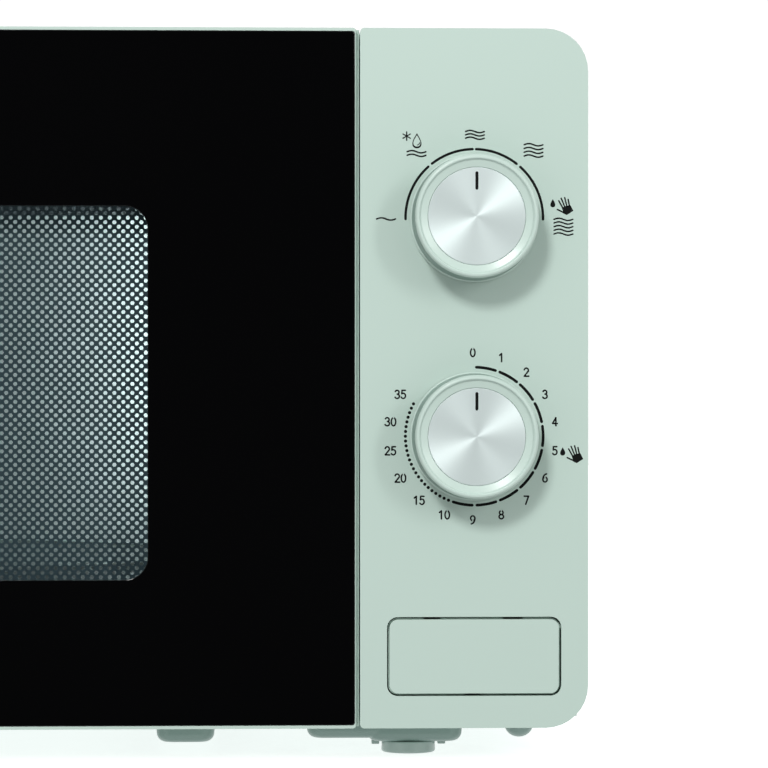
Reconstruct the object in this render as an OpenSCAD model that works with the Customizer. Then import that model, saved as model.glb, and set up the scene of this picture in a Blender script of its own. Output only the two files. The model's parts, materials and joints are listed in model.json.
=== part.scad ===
// Countertop microwave oven, 20 litre class, with mechanical knobs and a push-button door.
// Millimetres. +Z up, the door faces -Y, the control panel is at +X.
// Origin: middle of the overall box at the level of the surface that the feet stand on.

/* [Overall] */
// Width across the front
overall_w = 440; // [400:1:540]
// Height of the front, from the door's lower edge to its upper edge
body_h = 246; // [204:1:300]
// Height of the front's lower edge over the worktop
body_z = 12.5; // [11:0.5:16]
// Depth from the front frame to the rear panel
case_d = 300; // [250:1:370]
// Depth of the spacer pads that stand out of the rear panel
bumper_d = 9; // [6:0.5:14]
// Radius of the front's outer corners
corner_r = 15; // [8:0.5:18]

/* [Door and control panel] */
// Thickness of the front, from the glass to the front frame
door_t = 31; // [28:0.5:38]
// Width of the control panel
panel_w = 80.3; // [78:0.1:97]
// Gap between the door and the control panel
door_gap = 1.2; // [0.8:0.1:2.5]
// Gap between the door and the front frame
frame_gap = 1.2; // [0.8:0.1:2]
// Thickness of the door's front glass
glass_t = 3.2; // [2.4:0.1:4]
// Width of the plastic rim that shows round the glass
glass_rim = 1.1; // [0.6:0.1:3]
// Width of that rim beside the control panel
latch_rim = 0.6; // [0.4:0.1:3]
// Width of the clear window
window_w = 212; // [170:1:240]
// Height of the clear window
window_h = 131; // [100:1:150]
// Radius of the window's corners
window_r = 8; // [3:0.5:14]
// How far the window's middle lies under the door's middle
window_drop = 5.2; // [0:0.1:8]
// How far the door's swing opens, in degrees
door_open = 110; // [80:1:110]
// Radius of the hinge pins
pin_r = 3; // [2.5:0.1:3.6]

/* [Cavity] */
// How far the door overlaps the cavity's opening at each side
door_overlap = 26.25; // [25:0.25:32]
// Height of the cavity floor over the body's lower edge
floor_rise = 26.3; // [25:0.1:34]
// Height of the space over the cavity's roof
roof_gap = 14.7; // [8:0.1:22]
// Depth of the space behind the cavity
rear_gap = 14.2; // [12:0.1:30]
// Thickness of the sheet steel
sheet = 0.8; // [0.6:0.1:1]

/* [Knobs and button] */
// How far the knobs stand out of the panel
knob_proud = 16; // [13:0.5:20]
// Radius of a knob at its foot
knob_r = 22.1; // [18:0.1:26]
// Radius of the aluminium disc in a knob's face
disc_r = 16.95; // [13:0.05:17.5]
// Radius of the knob shafts
shaft_r = 3; // [2.5:0.1:3.6]
// Height of the power knob's middle over the body's lower edge
power_rise = 179.3; // [170:0.1:180]
// Height of the timer knob's middle over the body's lower edge
timer_rise = 102.6; // [98:0.1:112]
// Height of the door button's middle over the body's lower edge
button_rise = 25.2; // [24:0.1:30]
// Height of the door button
button_h = 26; // [22:0.1:29]
// Plain margin at each side of the door button
button_margin = 10.35; // [9:0.05:14]
// Gap all round the door button
button_gap = 0.9; // [0.7:0.05:1.3]
// How far the door button tips inwards, in degrees
button_tip = 7; // [5:0.5:7]

/* [Turntable] */
// Radius of the glass tray
tray_r = 122.5; // [100:0.5:124]
// Radius of the tray's rollers
roller_r = 8; // [7:0.1:9]
// Radius at which the rollers run
track_r = 88; // [75:1:92]

/* [Feet] */
// Radius of a foot
foot_r = 9.8; // [8:0.1:12]
// Height of a foot
foot_h = 4.2; // [3.5:0.1:6]

/* [Hidden] */
$fn = 64;
eps = 0.01;

// Clearances
fit = 0.3;            // between pieces that lie side by side
run = 0.06;           // radial, between a pin and its bore
lift_gap = 0.3;       // between the release slider and what it lifts or what lifts it

// Main planes and edges
half_w = overall_w / 2;
overall_d = knob_proud + door_t + case_d + bumper_d;
face_y = -overall_d / 2 + knob_proud;
frame_y = face_y + door_t;
back_y = frame_y + case_d;
top_z = body_z + body_h;
panel_x = half_w - panel_w;
panel_mid = half_w - panel_w / 2;
door_x0 = -half_w;
door_x1 = panel_x - door_gap;
door_mid = (door_x0 + door_x1) / 2;
door_back = frame_y - frame_gap;
mid_z = body_z + body_h / 2;
window_z = mid_z - window_drop;

// Outer sheet metal
case_inset = 1;
case_x = half_w - case_inset;
case_top = top_z - case_inset;
base_z = body_z + 2;                 // underside of the base plate
base_top = base_z + sheet;
shell_x = case_x - sheet - fit;      // outside of the frame and rear panel, inside the case
shell_top = case_top - sheet - fit;
case_front = frame_y + 1.5;

// Cavity
cav_x0 = door_x0 + door_overlap;
cav_x1 = door_x1 - door_overlap;
cav_z0 = body_z + floor_rise;
cav_z1 = top_z - roof_gap;
cav_y0 = frame_y + sheet;
cav_y1 = back_y - rear_gap - sheet;
cav_mid_y = (cav_y0 + cav_y1) / 2;
cav_r = 6;
bay_x = cav_x1 + sheet;              // left side of the machine bay

// Door hinge and latch
hinge_x = door_x0 + 8;
hinge_y = frame_y - 11;
hinge_t = 2.5;
pin_len = 9;
hook_x = door_x1 - 8;                // left face of the latch plate
hook_t = 3;
hook_lift = 3.8;                     // travel of the latch
upper_hook_rise = 187.5;
arm_h = 8;
nose_drop = 4.5;
ledge_back = 11;                     // from the frame plane to the back of the catch ledges
nose_l = 5.5;

// Knobs and button
power_z = body_z + power_rise;
timer_z = body_z + timer_rise;
button_z = body_z + button_rise;
button_w = panel_w - 2 * button_margin;
button_top = button_z + button_h / 2;
button_hinge_y = face_y + 4.5;
button_hinge_z = button_top - 2.5;
button_pin_r = 1.6;
lever_l = hook_lift / sin(button_tip) - 0.7;  // reach of the button's rear arm
travel = lever_l * sin(button_tip);
bar_x = hook_x + hook_t + 2.5;       // left face of the slider's bar
bar_y = frame_y + ledge_back + 0.5;  // front face of the slider's bar
slider_z = button_hinge_z + 1.5 + lift_gap;   // underside of the slider's foot
finger_top = -nose_drop - lift_gap - travel;  // from the underside of a hook's arm
tip_y = button_hinge_y + lever_l;
bracket_z = slider_z + 3 + travel + 1;
hook_zs = [bracket_z + nose_drop + 11, body_z + upper_hook_rise];  // underside of each hook's arm
panel_t = 2.5;
disc_t = 0.8;
disc_sink = 1.6;                     // disc's face under the knob's rim
shaft_hole_r = shaft_r + 1.2;

// Turntable
roller_z = cav_z0 + fit + roller_r;
tray_z = roller_z + roller_r + fit;  // underside of the tray
tray_t = 5;
tray_rim = 10.5;                     // height of the tray's rim over its underside
axle_r = 2;
roller_w = 8;
ring_h = 5;
ring_r0 = track_r - roller_w / 2 - 8.5;
ring_r1 = track_r - roller_w / 2 - 2.5;
coupler_top = tray_z - fit;
motor_r = 24.5;

// Foot pads of the base plate
pad_depth = base_z - foot_h;         // how far the pads reach under the base plate
foot_x = panel_x + 18.8;
foot_front_y = frame_y + 11.5;
foot_rear_y = back_y - 30;

// Machine bay
selector_w = 42;                     // body of the power selector
loom_clear = 4.15;                   // from the selector to the loom beside it
fan_x = bay_x + 51.95;
fan_z = body_z + 147;
fan_bore = 44;
guide_x0 = bay_x + 0;                // waveguide
guide_x1 = bay_x + 34;
guide_y0 = frame_y + 95;
guide_y1 = frame_y + 165;
guide_z0 = body_z + 112;
guide_z1 = body_z + 186;
port = [guide_y0 + 6, guide_z0 + 26, guide_y1 - 6, guide_z1 - 6];  // y0, z0, y1, z1
mag_x0 = guide_x1;
mag_x1 = mag_x0 + 62;
mag_y = (guide_y0 + guide_y1) / 2;
mag_z = guide_z0 + 37;

// Colours
sage = [0.74, 0.81, 0.77];
steel = [0.72, 0.74, 0.74];
enamel = [0.86, 0.87, 0.86];

// ---------------------------------------------------------------- helpers

// Quarter circle of radius r about (x, y), from angle a
function arc(x, y, r, a, n = 8) =
  r <= 0 ? [[x, y]] : [for (i = [0:n]) [x + r * cos(a + 90 * i / n), y + r * sin(a + 90 * i / n)]];

// Rectangle with its own radius at each corner: lower left, lower right, upper right, upper left
function rounded(x0, z0, x1, z1, r) = concat(
  arc(x0 + r[0], z0 + r[0], r[0], 180),
  arc(x1 - r[1], z0 + r[1], r[1], 270),
  arc(x1 - r[2], z1 - r[2], r[2], 0),
  arc(x0 + r[3], z1 - r[3], r[3], 90));

// Extrudes an XZ outline from y0 to y1
module along_y(y0, y1) {
  translate([0, y1, 0]) rotate([90, 0, 0]) linear_extrude(height = y1 - y0) children();
}

// Extrudes a YZ outline from x0 to x1
module along_x(x0, x1) {
  translate([x0, 0, 0]) rotate([90, 0, 90]) linear_extrude(height = x1 - x0) children();
}

// Box between two corners
module block(a, b) {
  translate(a) cube(b - a);
}

// Cylinder along Y from y0 to y1, about (x, z)
module rod_y(x, z, r, y0, y1) {
  translate([x, y1, z]) rotate([90, 0, 0]) cylinder(h = y1 - y0, r = r);
}

// Cylinder along X from x0 to x1, about (y, z)
module rod_x(y, z, r, x0, x1) {
  translate([x0, y, z]) rotate([0, 90, 0]) cylinder(h = x1 - x0, r = r);
}

// Turns a profile of (radius, distance out of the panel) round an axis along Y at (x, z)
module turned_y(x, z) {
  translate([x, face_y, z]) rotate([90, 0, 0]) rotate_extrude() children();
}

// Pan-head screw: head on the +Z side of z = 0, thread under it
module screw(head_r = 3.4, head_h = 2, r = 1.75, l = 8) {
  difference() {
    union() {
      cylinder(h = head_h, r = head_r);
      translate([0, 0, -l]) cylinder(h = l + eps, r = r);
    }
    for (a = [0, 90])
      rotate([0, 0, a]) translate([-2.2, -0.4, head_h - 1]) cube([4.4, 0.8, 2]);
  }
}

// Plain outline of the same radius at every corner
function even(x0, z0, x1, z1, r) = rounded(x0, z0, x1, z1, [r, r, r, r]);

// Shaft section: a circle with one flat
module d_shape(r, flat) {
  difference() {
    circle(r = r);
    translate([flat, -r]) square([r, 2 * r]);
  }
}

// ---------------------------------------------------------------- cabinet

module hook_slots(y0, y1) {
  for (z = hook_zs)
    block([hook_x - 1.6, y0, z - nose_drop - hook_lift - 1.2],
          [hook_x + hook_t + 1.9, y1, z + arm_h + 1.2]);
}

arm_x = panel_x + 16;                // middle of the button's rear arm
hinge_zs = [top_z - 8, body_z + 5.5];  // underside of the upper and lower hinge plates
frame_x = half_w - 3;
frame_z0 = base_top;
frame_z1 = top_z - 3;

module front_frame() {
  color(steel) difference() {
    union() {
      along_y(frame_y, frame_y + sheet)
        polygon(rounded(-frame_x, frame_z0, frame_x, frame_z1, [2, 2, 4, 4]));
      difference() {
        along_y(frame_y, frame_y + 10)
          polygon(rounded(-frame_x, frame_z0, frame_x, frame_z1, [2, 2, 4, 4]));
        along_y(frame_y - 1, frame_y + 11)
          polygon(rounded(-frame_x + sheet, frame_z0 + sheet, frame_x - sheet, frame_z1 - sheet,
                          [1.2, 1.2, 3.2, 3.2]));
      }
    }
    along_y(frame_y - 1, frame_y + 2) polygon(even(cav_x0, cav_z0, cav_x1, cav_z1, cav_r));
    hook_slots(frame_y - 1, frame_y + 2);
    block([arm_x - 8, frame_y - 1, button_hinge_z - 7], [arm_x + 8, frame_y + 2, button_hinge_z + 13]);
    for (z = [power_z, timer_z]) rod_y(panel_mid, z, shaft_hole_r, frame_y - 1, frame_y + 2);
    for (z = hinge_zs)
      block([hinge_x - 3.5 - fit, frame_y - 1, z - fit],
          [hinge_x + 5.5 + fit, frame_y + 2, z + hinge_t + fit]);
    for (z = hinge_screw_zs) rod_y(hinge_x, z, 1.6, frame_y - 1, frame_y + 2);
  }
}

hinge_screw_zs = [hinge_zs[0] - 7, hinge_zs[0] - 16, hinge_zs[1] + hinge_t + 7, hinge_zs[1] + hinge_t + 16];

// The five enamelled sheets of the cooking space meet on the middle of its corner bends
function half_arc(c, r, a, n = 4) =
  [for (i = [0:n]) [c[0] + r * cos(a + 45 * i / n), c[1] + r * sin(a + 45 * i / n)]];

// Sheet k: 0 the floor, 1 the right side, 2 the roof, 3 the left side
module cavity_side(k) {
  c = [[cav_x0 + cav_r, cav_z0 + cav_r], [cav_x1 - cav_r, cav_z0 + cav_r],
       [cav_x1 - cav_r, cav_z1 - cav_r], [cav_x0 + cav_r, cav_z1 - cav_r]];
  p = c[k];
  q = c[(k + 1) % 4];
  a = 270 + 90 * k;
  inner = concat(half_arc(p, cav_r, a - 45), half_arc(q, cav_r, a));
  along_y(frame_y + sheet, cav_y1) polygon(concat(
    half_arc(p, cav_r + sheet, a - 45), half_arc(q, cav_r + sheet, a),
    [for (i = [len(inner) - 1:-1:0]) inner[i]]));
}

module cavity_floor() {
  color(enamel) difference() {
    cavity_side(0);
    translate([door_mid, cav_mid_y, cav_z0 - 5]) cylinder(h = 10, r = 8);
  }
}

module cavity_right() {
  color(enamel) difference() {
    cavity_side(1);
    block([cav_x1 - 1, port[0], port[1]], [cav_x1 + 2, port[2], port[3]]);
    rod_x(frame_y + 48, cav_z1 - 26, 11, cav_x1 - 1, cav_x1 + 2);
  }
}

module cavity_roof() { color(enamel) cavity_side(2); }
module cavity_left() { color(enamel) cavity_side(3); }

module cavity_back() {
  color(enamel) along_y(cav_y1, cav_y1 + sheet)
    polygon(even(cav_x0 - sheet, cav_z0 - sheet, cav_x1 + sheet, cav_z1 + sheet, cav_r + sheet));
}

// Pressed pad of the base plate, open on top
module pad(x0, y0, x1, y1, d) {
  difference() {
    block([x0, y0, base_z - d], [x1, y1, base_z + eps]);
    block([x0 + 1.5, y0 + 1.5, base_z - d + 1.2], [x1 - 1.5, y1 - 1.5, base_z + 1]);
  }
}

module base_plate() {
  bx = case_x - sheet - fit;
  color(steel) difference() {
    union() {
      block([-bx, frame_y, base_z], [bx, back_y, base_top]);
      for (m = [0, 1]) mirror([m, 0, 0]) {
        for (y = [foot_front_y, foot_rear_y]) {
          block([foot_x - 12, y - 11, base_z - pad_depth], [foot_x + 18.5, y + 14, base_z + eps]);
          block([foot_x - 36, y - 11, base_z - pad_depth + 1.3], [foot_x - 12 + eps, y + 14, base_z + eps]);
        }
        translate([foot_x + 40, frame_y + 8, base_z - 8.4]) cylinder(h = 8.4 + eps, r = 5);
      }
      for (x = [-door_mid + 37, 3 * door_mid + 5])
        block([x - 10.3, frame_y + 0.5, base_z - pad_depth], [x + 10.3, back_y - 24, base_z + eps]);
    }
    for (m = [0, 1]) mirror([m, 0, 0])
      for (y = [foot_front_y, foot_rear_y]) {
        block([foot_x - 10.5, y - 9.5, foot_h + 1.2], [foot_x + 17, y + 12.5, base_top + 1]);
        block([foot_x - 34.5, y - 9.5, foot_h + 2.5], [foot_x - 13.5, y + 12.5, base_top + 1]);
        translate([foot_x, y, foot_h - 1]) cylinder(h = 4, r = 2.1);
      }
    for (x = [-door_mid + 37, 3 * door_mid + 5])
      block([x - 8.8, frame_y + 2, foot_h + 1.2], [x + 8.8, back_y - 25.5, base_top + 1]);
    for (m = [0, 1]) mirror([m, 0, 0])
      translate([foot_x + 40, frame_y + 8, base_z - 7.2]) cylinder(h = 12, r = 3.8);
    slots_z([for (i = [0:11]) bay_x + 12 + 6.5 * i], frame_y + 60, 20, 2.6);
  }
}

// Row of slots through the base plate, long in Y
module slots_z(xs, y, l, w) {
  for (x = xs) translate([x - w / 2, y - l / 2, base_z - 1]) cube([w, l, 4]);
}

vent_z0 = body_z + 60;

module outer_case() {
  color(sage) difference() {
    union() {
      difference() {
        along_y(case_front, back_y + sheet)
          polygon(rounded(-case_x, base_z - 1, case_x, case_top, [0, 0, 7, 7]));
        along_y(case_front - 1, back_y + 2)
          polygon(rounded(-case_x + sheet, base_z - 3, case_x - sheet, case_top - sheet, [0, 0, 6.2, 6.2]));
      }
      difference() {
        along_y(back_y, back_y + sheet)
          polygon(rounded(-case_x + eps, base_z - 1, case_x - eps, case_top - eps, [0, 0, 7, 7]));
        along_y(back_y - 1, back_y + 2)
          polygon(rounded(-case_x + 10, base_z - 3, case_x - 10, case_top - 10, [0, 0, 4, 4]));
      }
    }
    for (i = [0:11], k = [0, 1]) for (s = [-1, 1])
      block([s > 0 ? case_x - 2 : -case_x - 1, back_y - 34 - 7 * i, vent_z0 + 44 * k],
            [s > 0 ? case_x + 1 : -case_x + 2, back_y - 31 - 7 * i, vent_z0 + 34 + 44 * k]);
    for (p = rear_screw_at) rod_y(p[0], p[1], 1.8, back_y - 1, back_y + 2);
  }
}

rear_screw_at = [for (x = [-case_x + 5, case_x - 5], z = [base_z + 14, mid_z, case_top - 20]) [x, z],
                 [-110, case_top - 5], [30, case_top - 5], [120, case_top - 5]];

module rear_panel() {
  color(steel) difference() {
    along_y(back_y - sheet, back_y)
      polygon(rounded(-shell_x, base_top, shell_x, shell_top, [0, 0, 6, 6]));
    // Air inlet
    for (r = [-5:5]) {
      l = sqrt(38 * 38 - 49 * r * r);
      for (s = [-1, 1]) block([fan_x + s * (l + 1.5) / 2 - (l - 1.5) / 2, back_y - 2, fan_z + 7 * r - 2],
                              [fan_x + s * (l + 1.5) / 2 + (l - 1.5) / 2, back_y + 1, fan_z + 7 * r + 2]);
    }
    // Air outlets
    for (i = [0:15]) block([-61.5 - 8 * i, back_y - 2, top_z - 36], [-58.5 - 8 * i, back_y + 1, top_z - 20]);
    rod_y(gland_x, gland_z, 8, back_y - 2, back_y + 1);
    for (p = rear_screw_at) rod_y(p[0], p[1], 1.8, back_y - 2, back_y + 1);
  }
}

// Pads that keep the oven off the wall
module rear_spacers() {
  color([0.3, 0.31, 0.32]) for (x = [-120, 60]) along_y(back_y, back_y + bumper_d)
    polygon(even(x - 14, top_z - 62, x + 14, top_z - 40, 4));
}

gland_x = half_w - 38;
gland_z = body_z + 34;

module rear_screws() {
  color([0.5, 0.5, 0.52]) for (p = rear_screw_at)
    translate([p[0], back_y + sheet, p[1]]) rotate([-90, 0, 0]) screw(3.3, 1.9, 1.72, 6);
}

module hinge(z, up) {
  tab = [hinge_x - 3.5, frame_y + sheet];
  color([0.6, 0.61, 0.62]) difference() {
    union() {
      translate([hinge_x, hinge_y, z]) cylinder(h = hinge_t, r = 6);
      block([hinge_x - 3.5, hinge_y, z], [hinge_x + 5.5, frame_y + sheet + 2.5, z + hinge_t]);
      translate([hinge_x, hinge_y, up ? z + hinge_t - eps : z - pin_len])
        cylinder(h = pin_len + eps, r = pin_r);
      if (up) block([tab[0], tab[1], z], [hinge_x + 5.5, tab[1] + 2.5, z + hinge_t + 21]);
      else block([tab[0], tab[1], z - 21], [hinge_x + 5.5, tab[1] + 2.5, z + hinge_t]);
    }
    for (s = hinge_screw_zs) rod_y(hinge_x, s, 1.6, frame_y, frame_y + 5);
  }
}
module upper_hinge() { hinge(hinge_zs[0], false); }
module lower_hinge() { hinge(hinge_zs[1], true); }

module hinge_screws() {
  color([0.5, 0.5, 0.52]) for (z = hinge_screw_zs)
    translate([hinge_x, frame_y + sheet + 2.5, z]) rotate([-90, 0, 0]) screw(3, 1.8, 1.55, 2.5 + sheet);
}

module foot(x, y) {
  translate([x, y, 0]) {
    difference() {
      cylinder(h = foot_h, r = foot_r);
      translate([0, 0, -1]) cylinder(h = 2.5, r = 4.5);
    }
    translate([0, 0, foot_h - 0.5]) cylinder(h = 3, r = 2);
  }
}
module front_feet() { color([0.2, 0.21, 0.22]) for (s = [-1, 1]) foot(s * foot_x, foot_front_y); }
module rear_feet() { color([0.2, 0.21, 0.22]) for (s = [-1, 1]) foot(s * foot_x, foot_rear_y); }

// ---------------------------------------------------------------- control panel

button_x0 = panel_mid - button_w / 2;
button_x1 = panel_mid + button_w / 2;

module control_panel() {
  c = [1.5, corner_r, corner_r, 1.5];
  color(sage) difference() {
    union() {
      difference() {
        along_y(face_y, frame_y) polygon(rounded(panel_x, body_z, half_w, top_z, c));
        along_y(face_y + panel_t, frame_y + 1)
          polygon(rounded(panel_x + panel_t, body_z + panel_t, half_w - panel_t, top_z - panel_t,
                          [1, corner_r - panel_t, corner_r - panel_t, 1]));
      }
      for (x = [button_x0 - button_gap - 3.6, button_x1 + button_gap + 0.4])
        block([x, face_y + panel_t - 0.5, button_hinge_z - 4], [x + 3.2, face_y + 9, button_hinge_z + 4]);
      for (z = [power_z, timer_z]) rod_y(panel_mid, z, shaft_hole_r + 3, face_y + panel_t - 0.5, face_y + 10);
    }
    along_y(face_y - 1, face_y + panel_t + 0.3)
      polygon(even(button_x0 - button_gap, button_z - button_h / 2 - button_gap,
                   button_x1 + button_gap, button_top + button_gap, 3.8));
    for (z = [power_z, timer_z]) rod_y(panel_mid, z, shaft_hole_r, face_y - 1, face_y + 11);
    rod_x(button_hinge_y, button_hinge_z, button_pin_r + run, panel_x + 4, half_w - 4);
  }
}

seat = knob_proud - disc_sink - disc_t;
shaft_flat = shaft_r - 0.8;

module knob(x, z) {
  color(sage) difference() {
    turned_y(x, z) polygon(concat(
      [[0, seat - 2], [0, seat], [disc_r + 0.1, seat], [disc_r + 0.1, knob_proud - 1.3],
       [disc_r + 1.3, knob_proud - 0.25], [disc_r + 2.2, knob_proud]],
      arc(knob_r - 2.4, knob_proud - 2, 2, 90, 1),
      [[knob_r - 0.4, knob_proud - 2], [knob_r + 0.2, 1.8], [knob_r + 0.5, 1.6], [knob_r + 0.5, 0.6],
       [knob_r - 1.6, 0.6], [knob_r - 2.4, seat - 2]]));
  }
  color(sage) difference() {
    translate([x, face_y - 0.8, z]) rotate([90, 0, 0]) cylinder(h = seat - 2 - 0.8 + eps, r = 6.5);
    translate([x, face_y, z]) rotate([90, 0, 0]) linear_extrude(height = seat - 2.6)
      d_shape(shaft_r + 0.05, shaft_flat + 0.05);
  }
}
module power_knob() { knob(panel_mid, power_z); }
module timer_knob() { knob(panel_mid, timer_z); }

module knob_disc(x, z) {
  color([0.85, 0.86, 0.87]) rod_y(x, z, disc_r, face_y - seat - disc_t, face_y - seat);
}
module power_knob_disc() { knob_disc(panel_mid, power_z); }
module timer_knob_disc() { knob_disc(panel_mid, timer_z); }

shaft_end = frame_y + sheet + 12;

module knob_shaft(x, z) {
  color([0.65, 0.66, 0.67]) {
    translate([x, face_y + 2, z]) rotate([90, 0, 0]) linear_extrude(height = seat - 1)
      d_shape(shaft_r, shaft_flat);
    rod_y(x, z, shaft_r, face_y + 2 - eps, shaft_end);
  }
}
module power_shaft() { knob_shaft(panel_mid, power_z); }
module timer_shaft() { knob_shaft(panel_mid, timer_z); }

// Switch body behind the front frame, of width w, height h and depth d
module mechanism(z, w, h, d) {
  difference() {
    union() {
      block([panel_mid - w / 2, frame_y + sheet, z - h / 2],
          [panel_mid + w / 2, frame_y + sheet + d, z + h / 2]);
      for (s = [-1, 1])
        block([panel_mid + s * 6 - 2.5, frame_y + sheet + d - eps, z - h / 2 + 6],
              [panel_mid + s * 6 + 2.5, frame_y + sheet + d + 7, z - h / 2 + 7]);
    }
    rod_y(panel_mid, z, shaft_r + run, frame_y, shaft_end + 0.5);
  }
}
module power_selector() { color([0.9, 0.88, 0.82]) mechanism(power_z, selector_w, selector_w, 24); }
module timer_mechanism() {
  color([0.8, 0.81, 0.8]) mechanism(timer_z, 52, 58, 32);
}

// ---------------------------------------------------------------- door button and release

module open_button() {
  color(sage) {
    along_y(face_y, face_y + 2.6)
      polygon(even(button_x0, button_z - button_h / 2, button_x1, button_top, 3));
    block([button_x0 + 1.5, face_y + 2.5, button_hinge_z - 1.8],
          [button_x1 - 1.5, button_hinge_y + 1.8, button_hinge_z + 1.8]);
    rod_x(button_hinge_y, button_hinge_z, button_pin_r,
          button_x0 - button_gap - 3, button_x1 + button_gap + 3);
    block([arm_x - 2.5, button_hinge_y, button_hinge_z - 1.5],
          [arm_x + 2.5, button_hinge_y + lever_l, button_hinge_z + 1.5]);
    rod_x(button_hinge_y + lever_l, button_hinge_z, 1.5, arm_x - 2.5, arm_x + 2.5);
  }
}

module release_slider() {
  color([0.92, 0.92, 0.9]) {
    block([bar_x, bar_y, slider_z], [bar_x + 4, bar_y + 6, hook_zs[1] + finger_top]);
    for (z = hook_zs)
      block([hook_x - 0.5, bar_y, z + finger_top - 4], [bar_x + 1, bar_y + 4.5, z + finger_top]);
    block([bar_x, frame_y + sheet + fit, slider_z], [arm_x + 4, max(tip_y + 3, bar_y + 6), slider_z + 3]);
  }
}

module interlock_bracket() {
  wx = bar_x + 4 + fit;
  z1 = hook_zs[1] + 20;
  color([0.88, 0.88, 0.85]) {
    block([wx, frame_y + sheet, bracket_z], [wx + 2.5, frame_y + 28, z1]);
    block([wx, frame_y + sheet, bracket_z], [wx + 8, frame_y + sheet + 2, z1]);
    for (z = hook_zs)
      block([hook_x - 3, frame_y + ledge_back - 3, z - nose_drop - 10],
            [wx + eps, frame_y + ledge_back, z - nose_drop - 0.5]);
    for (z = [hook_zs[0] + 30, hook_zs[0] + 80]) {
      block([bar_x + 1, bar_y - 2.5 - fit, z], [wx + eps, bar_y - fit, z + 12]);
      block([bar_x + 1, bar_y + 6 + fit, z], [wx + eps, bar_y + 8.5 + fit, z + 12]);
    }
  }
}

module interlock_switches() {
  sx = bar_x + 4 + fit + 2.5;
  color([0.15, 0.15, 0.16]) for (z = [hook_zs[0] - 10, hook_zs[1] - 40, hook_zs[1] - 18]) {
    block([sx, frame_y + 5, z], [sx + 9.5, frame_y + 27, z + 16]);
    for (k = [0:2]) block([sx + 3, frame_y + 27 - eps, z + 2.5 + 4.5 * k],
        [sx + 6, frame_y + 33, z + 3.1 + 4.5 * k]);
  }
}

// ---------------------------------------------------------------- door

door_zc = mid_z;
hollow_x0 = hinge_x + 7;
wall = 3;
cover_t = 2.5;
pan_x0 = cav_x0 + 4;
pan_x1 = cav_x1 - 4;
pan_z0 = cav_z0 + 4;
pan_z1 = cav_z1 - 4;
pan_y = door_back - cover_t;         // rear face of the pan's rim
screen_y = door_back - 15;           // rear face of the perforated screen
sheet_d = sheet;

function win(m) = even(door_mid_win - window_w / 2 - m, window_z - window_h / 2 - m,
                       door_mid_win + window_w / 2 + m, window_z + window_h / 2 + m, window_r + m);
door_mid_win = door_mid;

module door_frame() {
  c = [corner_r, 1.5, 1.5, corner_r];
  color(sage) difference() {
    intersection() {
      along_y(face_y, door_back) polygon(rounded(door_x0, body_z, door_x1, top_z, c));
      translate([0, 0, body_z - 1]) linear_extrude(height = body_h + 2)
        polygon(rounded(door_x0, face_y, door_x1, door_back, [0.8, 0.5, 0.5, 8]));
    }
    along_y(face_y - 1, face_y + glass_t + 0.1)
      polygon(rounded(door_x0 + glass_rim, body_z + glass_rim, door_x1 - latch_rim, top_z - glass_rim,
                      [corner_r - glass_rim, 1, 1, corner_r - glass_rim]));
    along_y(face_y + glass_t + 2.6, door_back + 1)
      polygon(rounded(hollow_x0, body_z + wall, door_x1 - wall, top_z - wall, [1, 1, 1, 1]));
    along_y(face_y, door_back) polygon(win(7));
    for (z = hinge_zs)
      block([door_x0 - 1, hinge_y - 11, z - 0.4], [hinge_x + 7.5, frame_y, z + hinge_t + 0.4]);
    translate([hinge_x, hinge_y, hinge_zs[0] - pin_len - 1]) cylinder(h = pin_len + 2, r = pin_r + run);
    translate([hinge_x, hinge_y, hinge_zs[1] + hinge_t - 1]) cylinder(h = pin_len + 2, r = pin_r + run);
  }
}

module door_glass() {
  g = glass_rim + 0.1;
  color([0.04, 0.04, 0.05]) along_y(face_y, face_y + glass_t)
    polygon(rounded(door_x0 + g, body_z + g, door_x1 - latch_rim - 0.1, top_z - g,
                    [corner_r - g, 0.9, 0.9, corner_r - g]));
}

module door_screen() {
  color([0.3, 0.32, 0.33]) difference() {
    union() {
      // Rim under the choke cover, turned forwards at its outer edge
      difference() {
        along_y(pan_y - 9, pan_y) polygon(even(pan_x0, pan_z0, pan_x1, pan_z1, 4));
        along_y(pan_y - 10, pan_y - sheet_d)
          polygon(even(pan_x0 + sheet_d, pan_z0 + sheet_d, pan_x1 - sheet_d, pan_z1 - sheet_d, 3.2));
      }
      along_y(screen_y - sheet_d, pan_y - eps) polygon(win(11));
    }
    along_y(screen_y, pan_y + 1) polygon(win(11 - sheet_d));
  }
}

module door_film() {
  color([0.8, 0.85, 0.87]) along_y(door_back - 1.6, door_back - 1) polygon(win(12.8));
}

module choke_cover() {
  color([0.25, 0.27, 0.28]) difference() {
    along_y(door_back - cover_t, door_back)
      polygon(rounded(hollow_x0 + 0.2, body_z + wall + 0.2, door_x1 - wall - 0.2, top_z - wall - 0.2,
                      [1, 1, 1, 1]));
    along_y(door_back - cover_t - 1, door_back + 1) polygon(win(8));
    along_y(door_back - 1.7, door_back + 1) polygon(win(13));
    hook_slots(door_back - cover_t - 1, door_back + 1);
    for (z = hinge_zs)
      block([door_x0, hinge_y, z - 0.4], [hinge_x + 7.5, frame_y, z + hinge_t + 0.4]);
  }
}

module door_latch() {
  ye = frame_y + ledge_back + 0.4;
  color([0.93, 0.93, 0.9]) {
    block([hook_x, door_back - 13, hook_zs[0] - 2], [hook_x + hook_t, door_back - 5, hook_zs[1] + arm_h + 2]);
    for (z = hook_zs) along_x(hook_x, hook_x + hook_t)
      polygon([[door_back - 6, z], [ye, z], [ye, z - nose_drop], [ye + 2.2, z - nose_drop],
               [ye + nose_l, z - 0.5], [ye + nose_l, z + 3], [ye + 2, z + arm_h],
                   [door_back - 6, z + arm_h]]);
    block([hook_x - 5, door_back - 11, mid_z - 26], [hook_x + eps, door_back - 7, mid_z - 23]);
  }
}

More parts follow.
